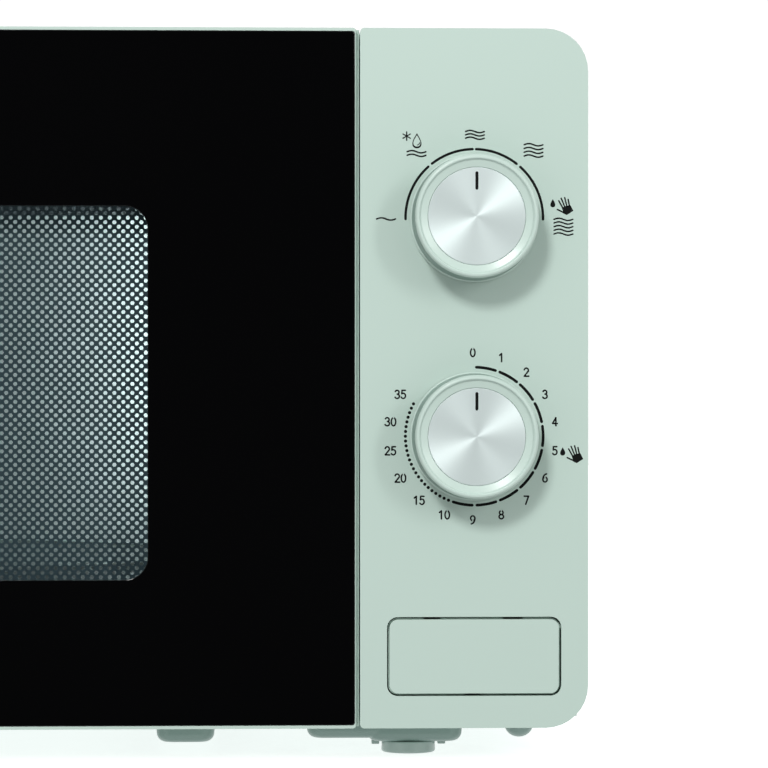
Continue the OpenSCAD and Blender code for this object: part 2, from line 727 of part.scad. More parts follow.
module latch_spring() {
  n = 22;
  color([0.7, 0.7, 0.72]) translate([hook_x - 3, door_back - 9, mid_z - 70]) rotate_extrude()
    polygon(concat([[0, 0]], [for (i = [0:n]) [i % 2 == 0 ? 1.7 : 2.3, i * 38 / n]], [[0, 38]]));
}

// ---------------------------------------------------------------- turntable

module at_centre(z) { translate([door_mid, cav_mid_y, z]) children(); }

module turntable_motor() {
  color([0.75, 0.76, 0.77]) at_centre(cav_z0 - sheet - 16) difference() {
    union() {
      cylinder(h = 15, r = motor_r);
      cylinder(h = 16, r = 12);
      for (s = [-1, 1]) translate([s > 0 ? motor_r - 2 : -motor_r - 8, -5, 14]) cube([10, 10, 2]);
      translate([-8, -motor_r - 6, 3]) cube([16, 10, 8]);
    }
    translate([0, 0, 6]) cylinder(h = 11, r = 4 + run);
  }
}

module turntable_coupler() {
  color([0.9, 0.9, 0.88]) at_centre(0) {
    translate([0, 0, cav_z0 - sheet - 9]) cylinder(h = 9 + sheet + 4, r = 4);
    translate([0, 0, cav_z0 + 1.5]) cylinder(h = coupler_top - 2.5 - cav_z0 - 1.5, r = 9);
    for (a = [0, 120, 240]) rotate([0, 0, a])
      translate([0, -4, coupler_top - 6]) cube([17, 8, 6]);
    translate([0, 0, coupler_top - 6]) cylinder(h = 6, r = 8);
  }
}

module glass_tray() {
  color([0.85, 0.9, 0.9]) {
    at_centre(tray_z) rotate_extrude($fn = 128) polygon(concat(
      [[0, 0], [tray_r - 14, 0], [tray_r - 3, 4.5], [tray_r, 8.2], [tray_r, tray_rim - 0.6],
       [tray_r - 0.8, tray_rim], [tray_r - 2.2, tray_rim], [tray_r - 4.5, 7.5], [tray_r - 13, tray_t],
       [0, tray_t]]));
    for (a = [60, 180, 300]) at_centre(tray_z - 4) rotate([0, 0, a])
      translate([12.5, 0, 0]) cylinder(h = 4 + eps, r = 2.6);
  }
}

module roller_ring() {
  color([0.88, 0.88, 0.86]) at_centre(roller_z) {
    difference() {
      translate([0, 0, -ring_h / 2]) cylinder(h = ring_h, r = ring_r1, $fn = 96);
      translate([0, 0, -ring_h]) cylinder(h = 2 * ring_h, r = ring_r0, $fn = 96);
    }
    for (a = roller_as) rotate([0, 0, a]) {
      translate([ring_r1 - 1, 0, 0]) rotate([0, 90, 0])
        cylinder(h = track_r + roller_w / 2 + 1.5 - ring_r1 + 1, r = axle_r);
      translate([track_r + roller_w / 2 + 0.5, 0, 0]) rotate([0, 90, 0]) cylinder(h = 1.6, r = axle_r + 0.7);
      translate([ring_r1 - 1, -3, -2.3]) cube([2.8, 6, 4.6]);
    }
  }
}
roller_as = [0, 120, 240];

module roller(a) {
  color([0.93, 0.93, 0.92]) at_centre(roller_z) rotate([0, 0, a]) translate([track_r, 0, 0])
    rotate([0, 90, 0]) rotate_extrude()
      polygon([[axle_r + run, -roller_w / 2], [roller_r - 1, -roller_w / 2], [roller_r, -roller_w / 2 + 1],
               [roller_r, roller_w / 2 - 1], [roller_r - 1, roller_w / 2], [axle_r + run, roller_w / 2]]);
}
module roller_1() { roller(roller_as[0]); }
module roller_2() { roller(roller_as[1]); }
module roller_3() { roller(roller_as[2]); }

// ---------------------------------------------------------------- magnetron and waveguide

module waveguide() {
  t = 1;
  color(steel) difference() {
    union() {
      block([guide_x0, guide_y0, guide_z0], [guide_x1, guide_y1, guide_z1]);
      block([guide_x0, guide_y0 - 7, guide_z0 - 7], [guide_x0 + t, guide_y1 + 7, guide_z1 + 7]);
    }
    block([guide_x0 + t, guide_y0 + t, guide_z0 + t], [guide_x1 - t, guide_y1 - t, guide_z1 - t]);
    block([guide_x0 - 1, port[0], port[1]], [guide_x0 + t + 1, port[2], port[3]]);
    rod_x(mag_y, mag_z, 11, guide_x1 - 2, guide_x1 + 1);
  }
}

module waveguide_cover() {
  color([0.8, 0.76, 0.68]) along_x(cav_x1 - 0.8, cav_x1 - 0.1)
    polygon(even(port[0] - 9, port[1] - 9, port[2] + 9, port[3] + 9, 4));
}

module magnetron_yoke() {
  h = 32;
  color([0.65, 0.66, 0.67]) difference() {
    block([mag_x0, mag_y - h - 1, mag_z - 40], [mag_x1, mag_y + h + 1, mag_z + 40]);
    block([mag_x0 + 2, mag_y - h - 2, mag_z - 38], [mag_x1 - 2, mag_y + h + 2, mag_z + 38]);
    rod_x(mag_y, mag_z, 11, mag_x0 - 1, mag_x0 + 3);
    rod_x(mag_y, mag_z, 12.5, mag_x1 - 3, mag_x1 + 1);
  }
}

module magnetron_fins() {
  color([0.85, 0.86, 0.87]) difference() {
    for (i = [0:7])
      block([mag_x0 + 14 + 4.6 * i, mag_y - 30, mag_z - 34],
          [mag_x0 + 14.8 + 4.6 * i, mag_y + 30, mag_z + 34]);
    rod_x(mag_y, mag_z, 19.05, mag_x0 + 1, mag_x1 - 1);
  }
}

module magnetron_anode() {
  color([0.8, 0.55, 0.4]) {
    rod_x(mag_y, mag_z, 19, mag_x0 + 10, mag_x0 + 52);
    rod_x(mag_y, mag_z, 9, mag_x0 - 20, mag_x0 + 10 + eps);
    rod_x(mag_y, mag_z, 10.5, mag_x0 + 52 - eps, mag_x1 + 5);
  }
}

// ---------------------------------------------------------------- high-voltage parts

tx = [bay_x + 12, frame_y + 180, bay_x + 90, frame_y + 262];

module transformer_core() {
  z0 = base_top + 2;
  color([0.3, 0.31, 0.33]) difference() {
    union() {
      block([tx[0], tx[1] + 16, z0], [tx[2], tx[3] - 16, z0 + 78]);
      block([tx[0] - 4, tx[1] + 6, base_top], [tx[2] + 4, tx[3] - 6, z0 + eps]);
    }
    for (s = [0, 1])
      block([tx[0] + 12 + 34 * s, tx[1], z0 + 14], [tx[0] + 32 + 34 * s, tx[3], z0 + 64]);
  }
}

module transformer_windings() {
  z0 = base_top + 2;
  color([0.72, 0.38, 0.2]) for (k = [0, 1]) difference() {
    along_y(tx[1] + 4, tx[3] - 4)
      polygon(even(tx[0] + 13, z0 + 15 + 25 * k, tx[2] - 13, z0 + 38.5 + 24.5 * k, 3));
    block([tx[0] + 32 - 0.2, tx[1] + 15.8, z0], [tx[0] + 46 + 0.2, tx[3] - 15.8, z0 + 90]);
  }
}

cap = [bay_x + 40, frame_y + 84, base_top + 4];

module hv_capacitor() {
  color([0.78, 0.79, 0.8]) {
    along_y(cap[1], cap[1] + 78) polygon(even(cap[0], cap[2], cap[0] + 52, cap[2] + 34, 16.5));
    for (s = [-1, 1]) {
      rod_y(cap[0] + 26 + s * 12, cap[2] + 17, 4, cap[1] + 78 - eps, cap[1] + 84);
      block([cap[0] + 25.7 + s * 12, cap[1] + 84 - eps, cap[2] + 14],
            [cap[0] + 26.3 + s * 12, cap[1] + 91, cap[2] + 20]);
    }
  }
}

module capacitor_clamp() {
  color(steel) difference() {
    union() {
      along_y(cap[1] + 30, cap[1] + 46)
          polygon(even(cap[0] - 1.4, cap[2] - 1.4, cap[0] + 53.4, cap[2] + 35.4, 17.9));
      block([cap[0] - 16, cap[1] + 30, base_top], [cap[0] + 56, cap[1] + 46, base_top + 3]);
    }
    along_y(cap[1] + 29, cap[1] + 47)
        polygon(even(cap[0] - 0.15, cap[2] - 0.15, cap[0] + 52.15, cap[2] + 34.15, 16.6));
  }
}

module hv_diode() {
  color([0.12, 0.12, 0.13]) {
    rod_y(cap[0] - 9, base_top + 8, 4, cap[1] + 52, cap[1] + 78);
    rod_y(cap[0] - 9, base_top + 8, 0.8, cap[1] + 46, cap[1] + 86);
    block([cap[0] - 12, cap[1] + 60, base_top], [cap[0] - 6, cap[1] + 70, base_top + 8]);
  }
}

// ---------------------------------------------------------------- fan and duct

fan_y1 = back_y - 6;
fan_y0 = back_y - 44;

module fan_shroud() {
  color([0.8, 0.82, 0.82]) {
    difference() {
      along_y(fan_y0, fan_y1) polygon(even(fan_x - 49, fan_z - 49, fan_x + 49, fan_z + 49, 6));
      rod_y(fan_x, fan_z, fan_bore, fan_y0 - 1, fan_y1 + 1);
      for (i = [-1, 1], k = [-1, 1]) rod_y(fan_x + 42 * i, fan_z + 42 * k, 1.8, fan_y0 - 1, fan_y1 + 1);
    }
    difference() {
      union() {
        block([fan_x - fan_bore - 2, fan_y1 - 3, fan_z - 4], [fan_x + fan_bore + 2, fan_y1 - 0.5, fan_z + 4]);
        block([fan_x - 4, fan_y1 - 3, fan_z - fan_bore - 2], [fan_x + 4, fan_y1 - 0.5, fan_z + fan_bore + 2]);
      }
      rod_y(fan_x, fan_z, 14.2, fan_y1 - 4, fan_y1 + 1);
    }
  }
}

module fan_motor() {
  color([0.4, 0.42, 0.44]) {
    rod_y(fan_x, fan_z, 14, fan_y1 - 12, fan_y1 + 2);
    rod_y(fan_x, fan_z, 16, fan_y1 - 12, fan_y1 - 3.1);
    rod_y(fan_x, fan_z, 1.6, fan_y0 + 3, fan_y1 - 12 + eps);
  }
}

module fan_blade() {
  y0 = fan_y0 + 4;
  y1 = fan_y1 - 15;
  color([0.25, 0.27, 0.28]) difference() {
    union() {
      rod_y(fan_x, fan_z, 11, y0, y1);
      for (a = [0:60:300]) translate([fan_x, (y0 + y1) / 2, fan_z]) rotate([0, a, 0]) rotate([35, 0, 0])
        translate([8, -9, -1]) cube([fan_bore - 13, 18, 2]);
    }
    rod_y(fan_x, fan_z, 1.6 + run, y0 - 1, y1 + 1);
  }
}

duct_y0 = guide_y1 + 1;

module air_duct() {
  z0 = mag_z - 42;
  z1 = mag_z + 42;
  x0 = mag_x0 - 1;
  x1 = mag_x1 + 2;
  color([0.85, 0.86, 0.86]) difference() {
    block([x0 - 1.4, duct_y0, z0], [x1 + 1.4, fan_y0, z1]);
    block([x0, duct_y0 - 1, z0 + 1.4], [x1, fan_y0 + 1, z1 - 1.4]);
  }
}

// ---------------------------------------------------------------- small electrical parts

module filter_board() {
  z = shell_top - 16;
  color([0.2, 0.42, 0.28]) {
    block([bay_x + 18, back_y - 88, z], [bay_x + 88, back_y - 26, z + 1.6]);
  }
  color([0.9, 0.85, 0.5]) {
    block([bay_x + 24, back_y - 82, z + 1.5], [bay_x + 44, back_y - 68, z + 13]);
    block([bay_x + 50, back_y - 84, z + 1.5], [bay_x + 60, back_y - 64, z + 12]);
    translate([bay_x + 70, back_y - 72, z + 1.5]) cylinder(h = 11, r = 8);
    translate([bay_x + 70, back_y - 46, z + 1.5]) cylinder(h = 11, r = 8);
    block([bay_x + 24, back_y - 54, z + 1.5], [bay_x + 52, back_y - 48, z + 8]);
  }
  color([0.7, 0.7, 0.7]) for (i = [0, 1], k = [0, 1])
    translate([bay_x + 21 + 64 * i, back_y - 85 + 56 * k, z + 1.5]) cylinder(h = shell_top - z - 1.5, r = 2);
}

module thermal_cutout() {
  color([0.9, 0.88, 0.82]) {
    y = guide_y0 - 24;
    z = cav_z1 - 66;
    rod_x(y, z, 8, bay_x, bay_x + 8);
    block([bay_x, y - 14, z - 4], [bay_x + 1, y + 14, z + 4]);
    for (s = [-1, 1]) block([bay_x + 8 - eps, y + s * 4 - 2, z - 0.4], [bay_x + 15, y + s * 4 + 2, z + 0.4]);
  }
}

module oven_lamp() {
  y = frame_y + 48;
  z = cav_z1 - 26;
  color([0.9, 0.9, 0.86]) {
    difference() {
      rod_x(y, z, 15, bay_x, bay_x + 22);
      rod_x(y, z, 13.5, bay_x - 1, bay_x + 20);
    }
    rod_x(y, z, 7, bay_x + 19, bay_x + 32);
    translate([bay_x + 12, y, z]) sphere(r = 8.5);
  }
}

module cord_gland() {
  color([0.1, 0.1, 0.11]) difference() {
    union() {
      rod_y(gland_x, gland_z, 11, back_y, back_y + 3);
      rod_y(gland_x, gland_z, 7.8, back_y - 6, back_y + 0.5);
      rod_y(gland_x, gland_z, 10.5, back_y - 6, back_y - sheet);
      rod_y(gland_x, gland_z, 6.5, back_y + 2, back_y + 7);
    }
    rod_y(gland_x, gland_z, 3.6, back_y - 8, back_y + 9);
  }
}

module wiring_loom() {
  z = shell_top - 24;
  x = panel_mid + selector_w / 2 + loom_clear;
  color([0.5, 0.2, 0.18]) {
    rod_x(back_y - 60, z, 2.2, bay_x + 60, x);
    translate([x, back_y - 60, z]) sphere(r = 2.2);
    rod_y(x, z, 2.2, frame_y + 22, back_y - 60);
    translate([x, frame_y + 22, z]) sphere(r = 2.2);
    translate([x, frame_y + 22, power_z + 15]) cylinder(h = z - power_z - 15, r = 2.2);
  }
}

front_frame();
cavity_floor();
cavity_roof();
cavity_left();
cavity_right();
cavity_back();
base_plate();
outer_case();
rear_panel();
rear_spacers();
control_panel();
power_knob();
power_knob_disc();
power_shaft();
timer_knob();
timer_knob_disc();
timer_shaft();
power_selector();
timer_mechanism();
open_button();
release_slider();
interlock_bracket();
interlock_switches();
upper_hinge();
lower_hinge();
hinge_screws();
door_frame();
door_glass();
door_film();
door_screen();
choke_cover();
door_latch();
latch_spring();
turntable_motor();
turntable_coupler();
roller_ring();
roller_1();
roller_2();
roller_3();
glass_tray();
magnetron_yoke();
magnetron_fins();
magnetron_anode();
waveguide();
waveguide_cover();
transformer_core();
transformer_windings();
hv_capacitor();
capacitor_clamp();
hv_diode();
fan_shroud();
fan_motor();
fan_blade();
air_duct();
filter_board();
thermal_cutout();
oven_lamp();
cord_gland();
wiring_loom();
front_feet();
rear_feet();
rear_screws();
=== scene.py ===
import bmesh
import bpy
import json
from math import cos, pi, radians, sin, sqrt, tau
from mathutils import Matrix, Vector


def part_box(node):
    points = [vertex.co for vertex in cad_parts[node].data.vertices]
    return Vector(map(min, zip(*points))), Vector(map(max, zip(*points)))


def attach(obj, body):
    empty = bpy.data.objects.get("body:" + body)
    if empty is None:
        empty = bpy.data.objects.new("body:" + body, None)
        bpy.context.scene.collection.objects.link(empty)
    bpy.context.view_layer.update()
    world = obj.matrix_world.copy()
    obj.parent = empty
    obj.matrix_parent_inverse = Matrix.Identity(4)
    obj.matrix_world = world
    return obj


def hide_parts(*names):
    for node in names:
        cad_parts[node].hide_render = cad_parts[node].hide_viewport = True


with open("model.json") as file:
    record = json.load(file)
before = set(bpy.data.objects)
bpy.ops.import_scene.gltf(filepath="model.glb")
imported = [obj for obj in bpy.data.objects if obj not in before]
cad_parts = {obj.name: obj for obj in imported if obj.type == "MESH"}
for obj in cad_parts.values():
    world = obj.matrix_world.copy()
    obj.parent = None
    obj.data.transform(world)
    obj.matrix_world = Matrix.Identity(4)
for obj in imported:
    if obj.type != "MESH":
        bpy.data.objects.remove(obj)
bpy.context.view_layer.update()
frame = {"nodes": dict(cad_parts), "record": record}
nodes = frame["nodes"]
MM = 0.001
WELD = 2e-6                          # corners nearer than this are one

# ---------------- control panel
# One injection-moulded ABS shell, screwed to the front frame from behind. The mould
# leaves its edges softly rounded, and its face has a faint satin orange peel.


def colour(code):
    """Linear RGBA of an sRGB hex code."""
    parts = [int(code[i:i + 2], 16) / 255 for i in (0, 2, 4)]
    return [c / 12.92 if c <= 0.04045 else ((c + 0.055) / 1.055) ** 2.4 for c in parts] + [1.0]


def add(tree, kind, inputs=None, **settings):
    """Adds a node, with its settings, and its inputs as values or as links from sockets or nodes."""
    made = tree.nodes.new(kind)
    for key, value in settings.items():
        setattr(made, key, value)
    for key, value in (inputs or {}).items():
        value = value.outputs[0] if isinstance(value, bpy.types.Node) else value
        if isinstance(value, bpy.types.NodeSocket):
            tree.links.new(value, made.inputs[key])
        else:
            made.inputs[key].default_value = value
    return made


def material(name, **sockets):
    """A new material: returns it, its tree and its shader, with constant sockets set by name."""
    made = bpy.data.materials.new(name)
    made.use_nodes = True
    shader = made.node_tree.nodes["Principled BSDF"]
    for key, value in sockets.items():
        shader.inputs[key.replace("_", " ")].default_value = value
    return made, made.node_tree, shader


def surface(name, code, code_b, patch_mm, grain_mm, grain_depth, rough, rough_b, squeeze=(1, 1, 1), **sockets):
    """A finish whose colour drifts over patches, with a fine grain in its roughness and relief."""
    made, tree, shader = material(name, **sockets)
    place = add(tree, "ShaderNodeTexCoord").outputs["Object"]
    stretched = add(tree, "ShaderNodeMapping", {"Vector": place, "Scale": squeeze}).outputs["Vector"]
    patches = add(tree, "ShaderNodeTexNoise", {"Vector": place, "Scale": 1 / (patch_mm * MM), "Detail": 2.0})
    grain = add(tree, "ShaderNodeTexNoise", {"Vector": stretched, "Scale": 1 / (grain_mm * MM), "Detail": 3.0})
    tint = add(tree, "ShaderNodeMix", {"Factor": patches.outputs["Fac"], "A": colour(code), "B": colour(code_b)},
               data_type="RGBA")
    tree.links.new(tint.outputs[2], shader.inputs["Base Color"])
    gloss = add(tree, "ShaderNodeMapRange", {"Value": grain.outputs["Fac"], "To Min": rough, "To Max": rough_b})
    tree.links.new(gloss.outputs["Result"], shader.inputs["Roughness"])
    relief = add(tree, "ShaderNodeBump", {"Height": grain.outputs["Fac"], "Strength": 0.5,
                                          "Distance": grain_depth * MM})
    tree.links.new(relief.outputs["Normal"], shader.inputs["Normal"])
    return made


def linked(name, data):
    """A new object in the scene."""
    made = bpy.data.objects.new(name, data)
    bpy.context.scene.collection.objects.link(made)
    return made


def mesh_of(name, bm):
    """Turns a bmesh into a mesh."""
    mesh = bpy.data.meshes.new(name)
    bm.to_mesh(mesh)
    bm.free()
    return mesh


def finished_mesh(made):
    """The mesh of an object after its modifiers."""
    bpy.context.view_layer.update()
    return bpy.data.meshes.new_from_object(made.evaluated_get(bpy.context.evaluated_depsgraph_get()))


def shade(mesh, limit=30):
    """Smooth faces with creases kept sharp."""
    mesh.polygons.foreach_set("use_smooth", [True] * len(mesh.polygons))
    mesh.set_sharp_from_angle(angle=radians(limit))


def piece(name, bm, finish, body, limit=40):
    """Turns a bmesh into a named piece with its finish, riding on a body. Its flat faces shade flat."""
    mesh = mesh_of(name, bm)
    shade(mesh, limit)
    mesh.materials.append(finish)
    made = linked(name, mesh)
    made.modifiers.new("flat", "WEIGHTED_NORMAL").keep_sharp = True
    made.data = finished_mesh(made)
    made.modifiers.clear()
    made.data.name = name
    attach(made, body)
    return made


def welded(node):
    """A bmesh of a CAD piece, its faces joined at their corners."""
    bm = bmesh.new()
    bm.from_mesh(nodes[node].data)
    bmesh.ops.remove_doubles(bm, verts=bm.verts, dist=WELD)
    return bm


def rounded_copy(node, width):
    """A bmesh of a CAD piece, with its hard edges rounded to a width in millimetres."""
    bm = welded(node)
    bmesh.ops.dissolve_limit(bm, angle_limit=radians(0.5), verts=bm.verts, edges=bm.edges)
    hard = [e for e in bm.edges if len(e.link_faces) == 2 and e.calc_face_angle(0) > radians(40)]
    bmesh.ops.bevel(bm, geom=hard, offset=width * MM, segments=3, profile=0.5, affect="EDGES", clamp_overlap=True)
    return bm


def coat(made, finish, chosen):
    """Gives a second finish to the faces whose centre is chosen."""
    made.data.materials.append(finish)
    for face in made.data.polygons:
        if chosen(face.center):
            face.material_index = 1


def body_of(node):
    """Name of the body that a CAD piece belongs to."""
    return next(b for b, members in frame["record"]["behaviour"]["bodies"].items() if node in members)


def refine(names, finish, width):
    """Replaces each of the named CAD pieces by its own shape with softened edges."""
    for node in names.split():
        made = piece(node + "_skin", rounded_copy(node, width), finish, body_of(node))
        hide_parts(node)


sage_abs = surface("satin_sage_abs", "C6D9D0", "C3D6CD", 90, 0.35, 0.006, 0.34, 0.42, IOR=1.53)
refine("control_panel", sage_abs, 0.8)

# ---------------- door button
# A loose ABS flap hinged on two pins at its top edge, moulded from the panel's plastic.
refine("open_button", sage_abs, 0.5)

# ---------------- dial printing
# One-colour pad printing on the panel round each knob: power arcs with wave symbols
# above, a clockwork timer scale below. The ink film is a few hundredths thick.
INK_Y = (-0.03, 0.02)                # in front of and behind the panel's face
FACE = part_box("control_panel")[0].y
ink = surface("black_printing_ink", "040605", "080C0B", 20, 0.3, 0.002, 0.5, 0.6, Specular_IOR_Level=0.15)


def plate(outline, holes, y0, y1, soft=0.0):
    """A flat plate in the XZ plane between y0 and y1, with holes, and its rims softened."""
    bm = bmesh.new()
    edges = []
    for loop in [outline] + holes:
        verts = [bm.verts.new((x, y0, z)) for x, z in loop]
        edges += [bm.edges.new((verts[i - 1], verts[i])) for i in range(len(verts))]
    bmesh.ops.triangle_fill(bm, use_beauty=True, edges=edges)
    grown = bmesh.ops.extrude_face_region(bm, geom=bm.faces[:])["geom"]
    bmesh.ops.translate(bm, verts=[v for v in grown if isinstance(v, bmesh.types.BMVert)], vec=(0, y1 - y0, 0))
    bmesh.ops.recalc_face_normals(bm, faces=bm.faces)
    if soft:
        rims = [e for e in bm.edges if len(e.link_faces) == 2 and e.calc_face_angle(0) > 1.2]
        bmesh.ops.bevel(bm, geom=rims, offset=soft * MM, segments=2, profile=0.5, affect="EDGES")
    return bm


def merged(parts):
    """One bmesh from several."""
    out = bmesh.new()
    for part in parts:
        mesh = mesh_of("part", part)
        out.from_mesh(mesh)
        bpy.data.meshes.remove(mesh)
    return out


def stroke(points, width):
    """Outline of a line of a width through points in millimetres, with round ends."""
    p = [Vector(q) for q in points]
    ways = [(b - a).normalized() for a, b in zip(p, p[1:])]
    ways = [ways[0]] + [(a + b).normalized() for a, b in zip(ways, ways[1:])] + [ways[-1]]
    side = [Vector((-w.y, w.x)) * width / 2 for w in ways]

    def cap(at, way):
        turns = [Matrix.Rotation(radians(a), 2) for a in (-45, 0, 45)]
        return [at + t @ (way * width / 2) for t in turns]

    return ([a + b for a, b in zip(p, side)] + cap(p[-1], ways[-1])[::-1]
            + [a - b for a, b in zip(p[::-1], side[::-1])] + cap(p[0], -ways[0])[::-1])


def arc(radius, a0, a1, steps=16):
    """Points on an arc, with angles in degrees clockwise from the top."""
    turns = [radians(a0 + (a1 - a0) * i / steps) for i in range(steps + 1)]
    return [(radius * sin(t), radius * cos(t)) for t in turns]


def drop(height, width, steps=20):
    """Outline of a falling drop, centred on its middle."""
    out = []
    for i in range(steps):
        t = tau * i / steps
        out.append((width / 2 * sin(t) * sin(t / 2) ** 1.4, height / 2 * cos(t)))
    return out


def wave(width=6.6, rise=0.4):
    """Points of one wave line."""
    return [(width * (i / 16 - 0.5), rise * sin(tau * i / 16)) for i in range(17)]


def waves(count, gap):
    """Outlines of a stack of wave lines."""
    return [[(p[0], p[1] + gap * (k - (count - 1) / 2)) for p in stroke(wave(), 0.55)] for k in range(count)]


def printed(name, shapes, centre, body="cabinet", face=FACE):
    """Prints shapes on a face: each is (x, z, outline, holes), in millimetres from the centre."""
    parts = []
    for x, z, outline, holes in shapes:
        loops = [[(centre.x + (x + p[0]) * MM, centre.z + (z + p[1]) * MM) for p in loop]
                 for loop in [outline] + holes]
        parts.append(plate(loops[0], loops[1:], face + INK_Y[0] * MM, face + INK_Y[1] * MM))
    return piece(name, merged(parts), ink, body)


def middle(node):
    """Middle of a CAD piece's box."""
    low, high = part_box(node)
    return (low + high) / 2


POWER_ARC_R = 24.2
shapes = [(0, 0, stroke(arc(POWER_ARC_R, a, b), 0.9), []) for a, b in ((-91, -42), (-38, -1.5), (1.5, 38), (42, 91))]
for count, gap, x, z in ((1, 1.27, -31.05, -0.4), (2, 1.27, -20.35, 22.6), (3, 1.17, 0.2, 29.2),
                         (4, 1.33, 20.85, 23.8), (5, 1.29, 31.4, -3.0)):
    shapes += [(x, z, o, []) for o in waves(count, gap)]
for a in (radians(30), radians(90), radians(150)):
    tip = Vector((1.5 * cos(a), 1.5 * sin(a)))
    shapes.append((-23.8, 28.7, stroke([tip, -tip], 0.42), []))
shapes += [(-20.2, 27.1, drop(5.4, 4.6), [drop(4.1, 3.5)]),
           (-20.2, 27.1, stroke([(0.2, -1.5), (0.7, -1.25), (0.95, -0.7)], 0.3), [])]


def wet_hand(x, z):
    """A filled drop beside an open hand."""
    palm = [(-1.25, -0.4), (0.1, 0.25), (1.75, 0.6), (2.8, -1.4), (0.5, -2.9), (-0.65, -2.4)]
    fingers = [((-0.95, -0.4), (-2.35, 2.1)), ((-0.25, 0), (-1.5, 3.0)), ((0.55, 0.1), (-0.25, 3.2)),
               ((1.4, 0.3), (0.95, 2.6)), ((-0.5, -2.1), (-2.85, -0.95))]
    return ([(x - 4.45, z + 1.25, drop(2.9, 2.5), []), (x, z, palm, [])]
            + [(x, z, stroke(f, 0.52), []) for f in fingers])


shapes += wet_hand(32.1, 4.0)
printed("power_dial_print", shapes, middle("power_knob"))


def geometry_tree(name, inputs):
    """An empty geometry node tree with named inputs, the sockets that give them, and its result's socket."""
    tree = bpy.data.node_groups.new(name, "GeometryNodeTree")
    tree.interface.new_socket("Geometry", in_out="INPUT", socket_type="NodeSocketGeometry")
    for label, kind, value in inputs:
        socket = tree.interface.new_socket(label, in_out="INPUT", socket_type="NodeSocket" + kind)
        if value is not None:
            socket.default_value = value
    tree.interface.new_socket("Geometry", in_out="OUTPUT", socket_type="NodeSocketGeometry")
    return tree, add(tree, "NodeGroupInput").outputs, add(tree, "NodeGroupOutput").inputs[0]


def grow(name, tree, values, finish, body, limit=30):
    """Runs a geometry node tree with the given inputs and keeps the result as a plain mesh."""
    holder = linked(name + "_base", bpy.data.meshes.new(name + "_base"))
    modifier = holder.modifiers.new("grow", "NODES")
    modifier.node_group = tree
    for item in tree.interface.items_tree:
        if item.item_type == "SOCKET" and item.in_out == "INPUT" and item.name in values:
            modifier[item.identifier] = values[item.name]
    holder.update_tag()
    mesh = finished_mesh(holder)
    mesh.name = name
    bpy.data.objects.remove(holder)
    mesh.materials.clear()
    mesh.materials.append(finish)
    shade(mesh, limit)
    made = linked(name, mesh)
    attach(made, body)
    return made


# A row or a ring of one item: copy number i stands at Start + i Step, turned by Turn + i Turn Step
repeat_tree, g, result = geometry_tree("repeat_item", [
    ("Item", "Object", None), ("Count", "Int", 1), ("Start", "Vector", None), ("Step", "Vector", None),
    ("Turn", "Vector", None), ("Turn Step", "Vector", None), ("Finish", "Material", None)])
number = add(repeat_tree, "GeometryNodeInputIndex")


def ramped(first, step):
    """first + step x copy number, for a vector."""
    by = add(repeat_tree, "ShaderNodeVectorMath", {0: step, "Scale": number}, operation="SCALE")
    return add(repeat_tree, "ShaderNodeVectorMath", {0: first, 1: by}, operation="ADD")


points = add(repeat_tree, "GeometryNodePoints", {"Count": g["Count"], "Position": ramped(g["Start"], g["Step"])})
item = add(repeat_tree, "GeometryNodeObjectInfo", {"Object": g["Item"]}).outputs["Geometry"]
copies = add(repeat_tree, "GeometryNodeInstanceOnPoints", {
    "Points": points, "Instance": item, "Rotation": ramped(g["Turn"], g["Turn Step"])})
real = add(repeat_tree, "GeometryNodeRealizeInstances", {"Geometry": copies})
coated = add(repeat_tree, "GeometryNodeSetMaterial", {"Geometry": real, "Material": g["Finish"]})
repeat_tree.links.new(coated.outputs[0], result)


def repeat(name, item, count, start, finish, body, step=(0, 0, 0), turn=(0, 0, 0), turn_step=(0, 0, 0)):
    """Copies of an item, a bmesh about the origin, in a row or a ring."""
    holder = bpy.data.objects.new(name + "_item", mesh_of(name + "_item", item))
    made = grow(name, repeat_tree, {"Item": holder, "Count": count, "Start": start, "Step": step, "Turn": turn,
                                    "Turn Step": turn_step, "Finish": finish}, finish, body)
    bpy.data.objects.remove(holder)
    return made


TIMER_R = 24.25
timer_at = middle("timer_knob")
timer_at.y = FACE


def print_item(outline):
    """One printed shape, about the origin."""
    return plate([(x * MM, z * MM) for x, z in outline], [], INK_Y[0] * MM, INK_Y[1] * MM)


repeat("timer_dashes", print_item(stroke(arc(TIMER_R, 1.7, 17.9, 8), 1.0)), 10, timer_at, ink, "cabinet",
       turn_step=(0, radians(20), 0))
for group in range(5):
    repeat("timer_dots_%d" % group, print_item([(0.6 * x, TIMER_R + 0.6 * z) for x, z in arc(1, 0, 315, 7)]),
           5, timer_at, ink, "cabinet", turn=(0, radians(202 + 20 * group), 0),
           turn_step=(0, radians(4), 0))


def bow(x, z, across, up, a0, a1, steps=14):
    """Points on part of an ellipse, with angles in degrees clockwise from the top."""
    return [(x + across * p[0], z + up * p[1]) for p in arc(1, a0, a1, steps)]


